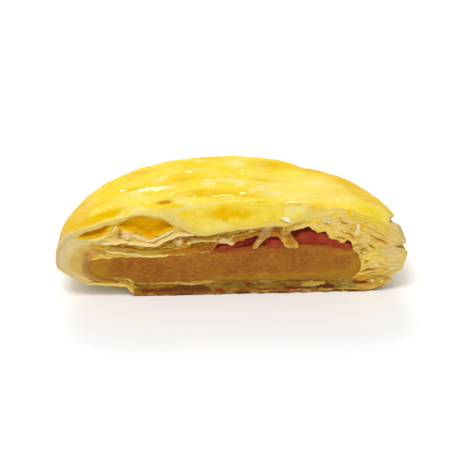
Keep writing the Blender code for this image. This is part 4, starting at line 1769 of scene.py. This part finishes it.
        # paler at each sheet's lip and darker as the sheet goes back under the next one: that darkening is
        # painted shade
        layered = 0.5 * np.exp(-cut.from_lip / 0.22) * cut.stand + 0.3 * cut.proud
        layered = layered - 0.45 * cut.shingle * cut.stand
        ridge = 0.5 + layered * (1 - 0.65 * right - 0.75 * left)
        ridge = ridge + right * (0.12 + 0.18 * cut.lumps + 0.34 * cut.strands + 0.22 * cut.crumbly)
        low = step_down(z, 3.9 + step_up(x, -6, 4), 1.4) * (x > -24)
        low = low * (1 - 0.55 * step_up(x, 23, 6))
        low = low + left * (0.4 * step_up(t, 0.2, 0.3) + 0.55 * step_up(t, 0.75, 0.2)) * solid
        pale = 0.9 * left * step_down(z, 20, 6) * (1 - 0.85 * step_up(t, 0.15, 0.4))
        return {
            "ridge": np.clip(ridge, 0, 1.3),
            "hollow": unit(hollow + cut.spotted(self.ambers)) * (1 - browned_gap_shade),
            "yellow": buttery * (1 - 0.5 * cut.tip) * solid,
            "pale": (pale + 0.3 * cut.tip) * solid,
            "cream": unit(cut.spotted(self.creams + self.bulges) + 0.4 * cut.tip) * solid,
            "shade": unit(shade + 0.3 * left * step_up(t, 0.35, 0.5)) * solid,
            # dark red at the brow and the hollow's ceiling behind it: syrup stain and painted shade
            "stain_and_shade": 0.35 * cut.over_hollow(0.88, 0.12),
            "low": unit(low),
            "russet": unit(cut.spotted(self.russets)),
            "browned_gap_shade": 1.1 * browned_gap_shade,
        }


LEAF_LOOP = 24  # points on a ring round a leaf
LEAF_STEP = 0.28  # from ring to ring


@dataclass(frozen=True)
class Leaf:
    """One thin leaf of dough that stands out at the cut. All sizes in millimetres.

    Attributes:
        name: plain name of the leaf
        path: places (x, z) that the middle of its front edge passes through, in the view of the photograph
        tone: how it is baked
        thickness: of one sheet at its thickest
        proud: how far its front edge stands before the cut
        reach: how far it runs in behind the cut
        slope: rise for each millimetre from the front edge back
        ragged: how uneven the front edge is
        droop: how far the front edge bends down
        taper: share of the length over which each end narrows
        blunt: thickness of the front edge as a share of the whole
    """

    name: str
    path: Line
    tone: Tone
    thickness: float = 0.5
    proud: float = 0.5
    reach: float = 2.6
    slope: float = 0.15
    ragged: float = 0.3
    droop: float = 0.15
    taper: float = 0.15
    blunt: float = 0.3

    def shell(self, seed: int) -> tuple[Points, Marks]:
        """The leaf as rings along its path.

        A ring is a flat loop: it goes back along the upper side by (1 - cos v) / 2 of the leaf's depth and
        comes forward along the lower side, half the thickness from the middle by |sin v|^0.5.

        Args:
            seed: which noise makes it uneven

        Returns:
            (rings, marks).
        """
        noise = Noise(seed)
        count = max(12, int(along(smooth_path(self.path, 40))[-1] / LEAF_STEP))
        line = smooth_path(self.path, count)
        run = np.gradient(line, axis=0)
        run /= np.maximum(np.linalg.norm(run, axis=1, keepdims=True), 1e-9)
        up = stacked(-run[:, 1], run[:, 0])
        up *= np.where(up[:, 1:] < 0, -1, 1) if abs(run[:, 0]).min() > 0.2 else 1
        u = np.linspace(0, 1, count)
        ends = smoothstep(u / self.taper) * smoothstep((1 - u) / self.taper)
        at = stacked(line[:, 0], np.zeros(count), line[:, 1])
        teeth = noise.at(at, 2.2, 2) + 0.6 * noise.at(at, 0.8, 1)
        front = blend(-0.8 * self.reach, self.proud + self.ragged * teeth, ends)[:, None]
        v = np.linspace(0, 2 * math.pi, LEAF_LOOP, endpoint=False)[None, :]
        deep = (0.5 - 0.5 * np.cos(v)) ** 1.35
        y = CUT_Y - front + (front + self.reach) * deep
        inside = y - (CUT_Y - front)
        thick = self.thickness * (0.55 + 0.45 * ends[:, None])
        thick = thick * blend(self.blunt, 1, step_up(inside, 0, 0.9))
        thick = thick * (1 + 0.25 * noise.at(at, 1.7, 2))[:, None]
        half = 0.5 * thick * np.sign(np.sin(v)) * np.abs(np.sin(v)) ** 0.5
        along_x, along_z = (np.broadcast_to(values[:, None], y.shape) for values in line.T)
        where = stacked(along_x, y, along_z)
        wave = 0.2 * noise.at(where, (3.2, 2, 3.2), 2) + 0.07 * noise.at(where, (1.1, 1, 1.1))
        bend = self.slope * inside - self.droop * near(inside, 2.2) * ends[:, None]
        off = half + wave + bend
        x = line[:, :1] + up[:, :1] * off
        z = line[:, 1:] + up[:, 1:] * off + SIGHT_RISE * self.proud
        # root marks where painted shade darkens the leaf as it runs back into the gap
        marks = {"edge": np.exp(-inside / 0.45), "root": step_up(y - CUT_Y, 0.3, 2)}
        return stacked(x, y, np.maximum(z, 0.05)), marks

    def build(self, seed: int, material: Material) -> None:
        """Makes the leaf as an object of its own, uneven by the seed's noise.

        Args:
            seed: which noise makes it uneven
            material: its finish
        """
        skin = Skin("leaf_" + self.name)
        skin.ringed(*self.shell(seed))
        skin.made(material, Slot.PASTRY)


NAMED_LEAVES: tuple[Leaf, ...] = (
    Leaf(
        "left_strip",
        ((-37.6, 15.4), (-35.2, 15.9), (-32.2, 16.4), (-29.8, 17.3), (-27.8, 18.8)),
        Tone.CREAM, thickness=0.9, proud=-0.1, reach=3, taper=0.35, blunt=0.8,
    ),
    Leaf(
        "left_fold_and_highlight",
        ((-27, 20.6), (-27.8, 19.4), (-28.6, 18.2), (-29.6, 17.2)),
        Tone.CREAM, thickness=0.6, proud=0.1, taper=0.35, blunt=0.7,
    ),
    Leaf(
        "main_lip", MAIN_LIP[1:-3],
        Tone.PALE, thickness=0.9, proud=0.5, reach=4, slope=0.2, taper=0.16, blunt=0.8,
    ),
    Leaf(
        "pocket_floor",
        (
            (-27, 17.9), (-24.2, 17.3), (-21.7, 16.3), (-19.8, 15.4), (-17.6, 16.1), (-15.6, 17.3),
            (-13.2, 18.6),
        ),
        Tone.PALE, thickness=0.7, proud=0, reach=0.8, slope=0.1, blunt=0.7,
    ),
    Leaf(
        "lip_underleaf",
        ((-11, 16.4), (-7, 16.7), (-1, 17.2), (4, 18), (8.5, 18.9), (12.5, 19.4)),
        Tone.GOLD, thickness=0.35, proud=0.1, ragged=0.5,
    ),
    # a dark recessed sheet that stands for the shadow under the skin's lip
    Leaf(
        "lip_shadow_strip",
        ((-16.4, 14.9), (-12.7, 15.8), (-7.8, 16), (-2.9, 16.3), (2, 17), (6.4, 17.9), (10, 18.7)),
        Tone.MUSTARD, thickness=0.5, proud=-0.2, ragged=0.45,
    ),
    Leaf(
        "filling_strip",
        (
            (-35.2, 13.3), (-32.2, 12.9), (-29.1, 12.5), (-26.1, 12.1), (-21.3, 11.4), (-17.6, 11.2),
            (-14.2, 11.7), (-11.5, 12.7), (-9.5, 13.6),
        ),
        Tone.CREAM, thickness=0.8, proud=-0.1, ragged=0.35, taper=0.3, blunt=0.8,
    ),
    Leaf(
        "filling_strip_upper",
        ((-33, 13.9), (-28.6, 13.7), (-23.7, 13.1), (-20, 12.6), (-16.4, 13), (-13.2, 13.9)),
        Tone.MUSTARD, thickness=0.9, proud=-0.2, ragged=0.35, taper=0.3, blunt=0.8,
    ),
    Leaf(
        "brow_left",
        ((-12, 14), (-9.8, 14.7), (-6.6, 15.2), (-4.2, 15.2), (-2.4, 15)),
        Tone.CREAM, thickness=0.5, proud=0.1, ragged=0.45, droop=0.2, blunt=0.7,
    ),
    Leaf(
        "pale_upright",
        ((30, 19.6), (30.5, 18.2), (30.4, 16.4), (29.9, 14.6)),
        Tone.PALE, thickness=1.3, proud=0.5, reach=1.2, taper=0.3, blunt=0.8,
    ),
    Leaf(
        "white_tip",
        ((11.3, 20.4), (12.6, 20.4), (13.8, 19.8), (15, 18.8)),
        Tone.WHITE, thickness=0.4, proud=1, reach=0.3, taper=0.49, ragged=0.15,
    ),
    Leaf(
        "floor_line",
        ((-19, 3.5), (-15.1, 3.3), (-11.5, 3.2), (-7.8, 3.1), (-4, 3.3)),
        Tone.MUSTARD, thickness=0.5, proud=0, slope=0.05, ragged=0.3, droop=0, blunt=0.8,
    ),
    Leaf(
        "left_floor",
        ((-37.5, 7.4), (-34, 5.2), (-30.5, 4.2), (-27, 3.4), (-24.4, 2.6), (-21, 1.8)),
        Tone.MUSTARD, thickness=0.6, proud=-0.3, slope=0.05, droop=0, blunt=0.8,
    ),
    Leaf(
        "cream_bit",
        ((16.2, 1.7), (18.5, 2.3), (21.4, 2.5), (23.6, 2.3)),
        Tone.MUSTARD, thickness=0.8, proud=0.1, blunt=0.9,
    ),
)


@dataclass(frozen=True)
class Flakes:
    """A part of the cut with many short leaves, which lie along lines between an outer and an inner path.

    Their tones take turns, and each length, stand before the cut and thickness lies between two bounds.
    """

    name: str
    outer: Line
    inner: Line
    count: int
    tones: tuple[Tone, ...]
    length: tuple[float, float]
    proud: tuple[float, float]
    thickness: tuple[float, float]

    def build(self, seed: int, finishes: dict[Tone, Material]) -> None:
        """Makes the leaves, with one object for each tone.

        Args:
            seed: which random numbers lay them out
            finishes: the material of each tone
        """
        rng = np.random.default_rng(seed)
        skins: dict[Tone, Skin] = {}
        lines = [smooth_path(path, 200) for path in (self.outer, self.inner)]
        for number in range(self.count):
            line = blend(lines[0], lines[1], rng.uniform(0.02, 0.98))
            tone = self.tones[number % len(self.tones)]
            step = np.linalg.norm(np.diff(line, axis=0), axis=1).mean()
            half = int(0.5 * rng.uniform(*self.length) / step)
            middle = int(rng.integers(0, len(line)))
            start, end = max(0, middle - half), min(len(line) - 1, middle + half)
            if end - start < 6:
                continue
            places = line[np.linspace(start, end, 4).astype(int)]
            tilt = rng.normal(0, 0.1)
            turned = (places - places.mean(axis=0)) @ np.array([[1, tilt], [-tilt, 1]])
            places = places.mean(axis=0) + turned + rng.normal(0, 0.1, (4, 2))
            leaf = Leaf(
                f"{self.name}_{number}",
                tuple((float(x), float(z)) for x, z in places),
                tone,
                thickness=rng.uniform(*self.thickness),
                proud=rng.uniform(*self.proud),
                reach=1.8,
                slope=rng.uniform(-0.1, 0.4),
                ragged=0.4,
                droop=rng.uniform(0, 0.3),
                taper=0.3,
                blunt=0.6,
            )
            skin = skins.setdefault(tone, Skin(f"{self.name}_{tone.name.lower()}"))
            skin.ringed(*leaf.shell(seed + number))
        for tone, skin in skins.items():
            skin.made(finishes[tone], Slot.PASTRY)


FLAKES: tuple[Flakes, ...] = (
    Flakes(
        "fan_upper",
        ((20, 20.7), (24, 19.9), (28, 19), (33.5, 17.2), (37.5, 15.4), (40.4, 13.2)),
        ((20, 19), (22.4, 18.6), (24.5, 17.8), (29, 15.2), (34.5, 13.4), (40.6, 11.8)),
        12,
        (Tone.CREAM, Tone.GOLD, Tone.PALE), (3.5, 8), (-0.5, -0.1), (0.8, 1.4),
    ),
    Flakes(
        "fan_middle",
        ((29.6, 14.4), (34, 13), (38, 11.9), (40.8, 11.4)),
        ((31.6, 9), (35, 8.8), (38.5, 8.4), (40.8, 8.2)),
        5,
        (Tone.CREAM, Tone.PALE, Tone.GOLD), (3, 6.5), (-0.5, -0.2), (0.9, 1.4),
    ),
    Flakes(
        "fan_lower",
        ((31.8, 8.6), (35, 8.2), (38, 8), (40.6, 7.8)),
        ((29, 3.9), (32, 2.9), (35, 2.4), (37.4, 3)),
        5,
        (Tone.CREAM, Tone.GOLD, Tone.PALE), (3, 6.5), (-0.5, -0.2), (0.8, 1.2),
    ),
    # flakes in the shadow band under the skin's lip; the mustard and amber ones are painted shadow
    Flakes(
        "under_lip",
        ((-33, 14.2), (-26, 14.2), (-20, 13.6), (-12, 15.6), (-2, 16.8), (9, 18.9)),
        ((-33, 13), (-26, 12.4), (-20, 11.8), (-12, 13.3), (-3, 15.2), (5, 17)),
        26,
        (Tone.MUSTARD, Tone.AMBER, Tone.CREAM, Tone.AMBER, Tone.MUSTARD, Tone.GOLD), (2, 5.5), (-0.5, 0.1),
        (0.4, 0.9),
    ),
)


@dataclass(frozen=True)
class Shards:
    """Small loose flakes that have caught on the cut, each a thin curved leaf with a torn outline."""

    count: int = 16
    loop: int = 8
    half_length: tuple[float, float] = (0.5, 1.3)
    half_width: tuple[float, float] = (0.3, 0.7)
    stations: tuple[float, ...] = (-1, -0.55, 0, 0.55, 1)  # loops along it, in half lengths

    def build(self, face: Points, material: Material) -> None:
        """Scatters them over the flaky right-hand end of the cut.

        A shard is a loop of points carried along a few places of its length, widest in the middle.

        Args:
            face: the front of the cut as rings
            material: their finish
        """
        rng = np.random.default_rng(Seed.SHARDS)
        places = face[4:-4].reshape(-1, 3)
        x, depth, z = places[:, 0], places[:, 1] - CUT_Y, places[:, 2]
        weight = 0.2 + bell(x - 32, 5) * bell(z - 11, 6)
        weight = weight * (depth < 1.6) * (depth > -0.6) * (z > 2.5) * (x > 26)
        chosen = places[rng.choice(len(places), self.count, replace=False, p=weight / weight.sum())]
        u = np.array(self.stations)[:, None]
        v = (np.arange(self.loop) * 2 * math.pi / self.loop)[None, :]
        skin = Skin("loose_flakes")
        for place in chosen:
            long_, wide = rng.uniform(*self.half_length), rng.uniform(*self.half_width)
            tilt, curl = rng.normal(0, 0.5), rng.uniform(-0.5, 0.5)
            taper = 1 - 0.75 * np.abs(u) ** 1.6
            across = wide * taper * np.cos(v) * (1 + 0.25 * rng.normal(size=u.shape))
            up = 0.06 * np.sin(v) * taper + curl * 0.35 * u**2
            run = long_ * u * np.ones_like(v)
            x = place[0] + run * math.cos(tilt) - up * math.sin(tilt)
            z = place[2] + run * math.sin(tilt) + up * math.cos(tilt) - 0.25 * across
            y = place[1] - 0.15 + across
            edge = unit(0.6 - 0.5 * across / wide)
            skin.ringed(stacked(x, y, z), {"edge": edge, "root": np.zeros_like(edge)})
        skin.made(material, Slot.PASTRY)


# ---- The filling and the syrup ----


@dataclass(frozen=True)
class Filling:
    """The malt paste, with the torn grain of its cut face."""

    columns: int = 460
    back_rows: int = 56  # rings from the back to the cut
    front_rows: int = 80  # and from there to the face's middle line
    spine_half: float = 28.0  # half the length of the face's middle line
    sunk: float = 0.45  # how far the face's edge lies behind the cut
    swelling: float = 0.50  # how far its middle comes forward again
    grain_height: float = 0.14
    lump_height: float = 0.35
    rounding: float = 0.35  # how far the top's front edge is rounded down
    top_lumps: float = 0.30  # height of the lumps on the top
    rims: Spots = spots(  # where dough crumbs colour the paste
        (-32.5, 8, 2.8, 4, 1), (-28, 4.6, 4, 0.9, 0.8), (0, 4, 6, 1.5, 1.1), (7.8, 5.1, 1.4, 1, 1.1),
        (16, 4.3, 8, 1.6, 1.1), (26.5, 4.8, 4.5, 1.7, 1.1), (27, 10.9, 2.4, 0.7, 1), (30, 8, 1.6, 2.6, 0.8),
        (-1, 10, 1.4, 1, 0.5), (-10.4, 11.2, 1.4, 0.7, 0.7, -20), (18, 12.4, 4, 0.9, 0.5),
    )

    def build(self, material: Material) -> None:
        """Makes the half disc: rim and top from the back to the cut, then the face in to its middle line.

        Args:
            material: the paste's finish
        """
        body = PASTE.surface(half_ball(self.back_rows, self.columns), 0)
        rim = body[-1]
        spine = rim.copy()
        spine[:, 0] = PASTE.offset_x + (rim[:, 0] - PASTE.offset_x) * self.spine_half / PASTE.radius
        bottom = PASTE.floor + PASTE.lift_share * CAKE.lift(spine[:, 0])
        spine[:, 2] = 0.5 * (bottom + PASTE.top_height(spine[:, 0], spine[:, 1]))
        t = ((np.arange(self.front_rows) + 1) / self.front_rows)[:, None, None]
        face = blend(rim[None], spine[None], t)
        rings = np.concatenate([body, face])
        noise = Noise(Seed.FILLING)
        grain = self.grain_height * noise.at(face, (1.3, 1.3, 1.1), 3)
        lump = self.lump_height * noise.at(face, (6, 6, 4), 2)
        bulge = step_up(t[..., 0], 0, 0.35)
        rings[self.back_rows :, :, 1] = CUT_Y + self.sunk - (self.swelling + grain + lump) * bulge
        front = near(body[..., 1] - CUT_Y, 2)
        rings[: self.back_rows, :, 1] += self.sunk * front
        rings[: self.back_rows, :, 2] -= self.rounding * front**2 * (body[..., 2] > PASTE.middle)
        upper = smoothstep((rings[..., 2] - PASTE.middle) / PASTE.half)
        level = np.concatenate([front, np.repeat(1 - t[..., 0], self.columns, axis=1)])
        rings[..., 2] += self.top_lumps * noise.at(rings + 80, (1.6, 1.6, 3), 3) * upper * level
        at_cut = CUT_Y + 0 * rings[..., 0]
        below = PASTE.top_height(rings[..., 0], at_cut) - rings[..., 2] + 0.5 * noise.at(rings, 2, 2)
        wet = smoothstep(PASTE.lens(rings[..., 0], at_cut, 0) / 0.5) * near(below, 2.2)
        wet = wet * (0.75 + 0.25 * smoothstep((rings[..., 1] - CUT_Y - 0.4) / 1))
        edge = smoothstep(1 - np.concatenate([np.zeros(self.back_rows), t[:, 0, 0]]) / 0.22)[:, None]
        rims = spotted(self.rims, rings[..., 0] + 0.5 * noise.at(rings, 3, 2), rings[..., 2])
        skin = Skin("malt_paste")
        marks = {"wet": 0.95 * wet, "rim": unit(rims + 0.6 * edge - wet)}
        skin.ringed(rings, marks, folded=True)
        skin.made(material, Slot.FILLING, "malt_filling")


@dataclass(frozen=True)
class Syrup:
    """The dark red layer that lies on the filling in the hollow and has soaked its front edge."""

    rows: int = 60
    columns: int = 300
    face_rows: int = 12
    face_depth: float = 0.25
    spread: float = 0.3  # how much wider and deeper than in the construction
    extra: float = 0.2  # and how much thicker
    bank_height: float = 1.1
    heap_height: float = 1.5
    lump_height: float = 0.6
    set_backs: Line = (  # of its front behind the cut, at places along X
        (-5, 0.3), (-1.5, 0.25), (0.5, 0.9), (4.4, 1.6), (7, 2.4), (8.6, 0.6), (10, 0.2), (13, 0.8),
        (14.6, 1.3), (16, 1), (17, 0.7), (20, 0.6), (23, 0.4), (26, 0.25), (29, 0.25),
    )
    drips: Line = (  # how far it comes down over the paste's front edge
        (-5, 0.2), (-2, 1.1), (0, 0.4), (7, 0.1), (8.6, 0.8), (11, 1.4), (13, 1), (14.6, 0.1), (17, 0.3),
        (20, 0.3), (23, 0.4), (26, 1), (28.3, 2), (29.5, 1),
    )

    def build(self, material: Material) -> None:
        """Makes a lens laid on the filling's top, rising from the cut, with a lumpy skin and an uneven face.

        Args:
            material: the syrup's finish
        """
        ways = half_ball(self.rows, self.columns)
        x = PASTE.syrup_x + (PASTE.syrup_half_width + self.spread) * ways[..., 0]
        y = CUT_Y + (PASTE.syrup_depth + self.spread) * ways[..., 1]
        top = PASTE.top_height(x, y)
        lumps = Noise(Seed.SYRUP).at(stacked(x, y, top), (2.4, 2.4, 9), 3)
        drops = Noise(Seed.DRIPS).at(stacked(x, y, top), (1.8, 9, 9), 2)
        heap = step_up(x, 15, 2.5) * step_down(x, 29, 4)
        bank = np.maximum(smoothstep((y - CUT_Y) / 2.2), 0.65 * heap)
        rise = PASTE.syrup_thickness + self.extra + self.bank_height * bank + self.heap_height * heap
        rise = (rise + self.lump_height * lumps) * ways[..., 2]
        front = near(y - CUT_Y, 1.2)
        fall = (0.05 + front * eased(self.drips, x) * (1 + 0.6 * drops)) * ways[..., 2]
        body = stacked(x, y, top + 0.1 + np.where(ways[..., 2] > 0, rise, fall))
        rim = body[-1]
        half = self.columns // 2
        mirror = (self.columns - np.arange(self.columns)) % self.columns
        spine = 0.5 * (rim + rim[mirror])
        spine[[0, half]] = 0.98 * rim[[0, half]] + 0.02 * rim.mean(axis=0)
        t = ((np.arange(self.face_rows) + 1) / self.face_rows)[:, None, None]
        face = blend(rim[None], spine[None], t)
        set_back = eased(self.set_backs, x[-1])
        swelling = self.face_depth * step_up(t[..., 0], 0, 0.5) * (1 + 0.5 * lumps[-1])
        face[..., 1] = CUT_Y + set_back - swelling
        body[..., 1] += eased(self.set_backs, x) * near(y - CUT_Y, 4)
        rings = np.concatenate([body, face])
        below = PASTE.top_height(rings[..., 0], CUT_Y + 0 * rings[..., 0]) + 1.1 - rings[..., 2]
        thin = 0.6 * step_up(below, 0, 2) * (rings[..., 1] < CUT_Y + 0.8)
        skin = Skin("syrup")
        skin.ringed(rings, {"thin": thin}, folded=True)
        skin.made(material, Slot.SYRUP, "syrup_layer")


# ---- Studio ----


@dataclass(frozen=True)
class Lamp:
    """A soft rectangular light that points at the cake. Its place and size are in metres."""

    name: str
    place: Triple
    size: tuple[float, float]
    watts: float

    def build(self) -> None:
        """Adds it to the scene."""
        data = bpy.data.lights.new(self.name, "AREA")
        data.shape = "RECTANGLE"
        data.size, data.size_y = self.size
        data.energy = self.watts
        obj = bpy.data.objects.new(self.name, data)
        obj.location = self.place
        way = Vector((0, 0, 0.01)) - Vector(self.place)
        obj.rotation_euler = way.to_track_quat("-Z", "Y").to_euler()
        bpy.context.scene.collection.objects.link(obj)


@dataclass(frozen=True)
class Studio:
    """Floor, light and camera."""

    floor_size: float = 3.0
    look_right: float = -0.0005  # the place that the camera looks at, from the middle of the cut's foot
    look_up: float = 0.01565
    elevation: float = 30.0  # in degrees, and so is the azimuth
    azimuth: float = 2.5
    distance: float = 0.450  # of the camera, in metres
    lens: float = 144.0  # focal length for a sensor 36 wide
    surround: float = 0.45  # brightness
    lamps: tuple[Lamp, ...] = (
        Lamp("key", (-0.15, -0.28, 0.75), (0.34, 0.34), 3.1),
        Lamp("front_fill", (0.15, -0.9, 0.45), (0.8, 0.8), 2.2),
        Lamp("glint", (-0.04, 0.45, 0.33), (0.34, 0.26), 1.55),
    )

    def floor(self, material: Material) -> None:
        """Lays the floor that the cake rests on.

        Args:
            material: its finish
        """
        half = 0.5 * self.floor_size
        corners = [(-half, -half, 0), (half, -half, 0), (half, half, 0), (-half, half, 0)]
        mesh = bpy.data.meshes.new("floor")
        mesh.from_pydata(corners, [], [(0, 1, 2, 3)])
        mesh.materials.append(material)
        obj = bpy.data.objects.new("floor", mesh)
        bpy.context.scene.collection.objects.link(obj)

    def camera(self) -> None:
        """Sets the camera at the photograph's angle, looking at the middle of the frame."""
        up, side = math.radians(self.elevation), math.radians(self.azimuth)
        right = Vector((math.cos(side), -math.sin(side), 0))
        ahead = Vector((math.sin(side) * math.cos(up), math.cos(side) * math.cos(up), -math.sin(up)))
        above = right.cross(ahead)
        target = Vector((0, CUT_Y * MM, 0)) + right * self.look_right + above * self.look_up
        data = bpy.data.cameras.new("camera")
        data.lens = self.lens
        data.sensor_width = 36
        data.clip_start = 0.01
        obj = bpy.data.objects.new("camera", data)
        obj.location = target - ahead * self.distance
        obj.rotation_euler = ahead.to_track_quat("-Z", "Y").to_euler()
        bpy.context.scene.collection.objects.link(obj)
        bpy.context.scene.camera = obj

    def world(self) -> None:
        """A plain white surround."""
        world = bpy.data.worlds.new("surround")
        world.use_nodes = True
        background = world.node_tree.nodes["Background"]
        background.inputs["Color"].default_value = (1, 1, 1, 1)
        background.inputs["Strength"].default_value = self.surround
        bpy.context.scene.world = world

    def build(self) -> None:
        """Sets up the whole studio."""
        bpy.context.scene.view_settings.view_transform = "Standard"
        self.floor(PaleFloor().material())
        self.world()
        for lamp in self.lamps:
            lamp.build()
        self.camera()


def main() -> None:
    """Builds every piece in order and reports each."""
    logging.basicConfig(level=logging.INFO, format="%(message)s")
    crust = Crust()
    crust.build(EggWash().material())
    face = CutFace().build(crust, CutCrumb().material())
    finishes = {tone: LeafFinish(tone).material() for tone in Tone}
    for number, leaf in enumerate(NAMED_LEAVES):
        leaf.build(Seed.LEAVES + number, finishes[leaf.tone])
    for number, flakes in enumerate(FLAKES):
        flakes.build(Seed.FLAKES + 100 * number, finishes)
    Shards().build(face, finishes[Tone.CREAM])
    Filling().build(MaltPaste().material())
    Syrup().build(BoiledSyrup().material())
    Studio().build()


if __name__ == "__main__":
    main()
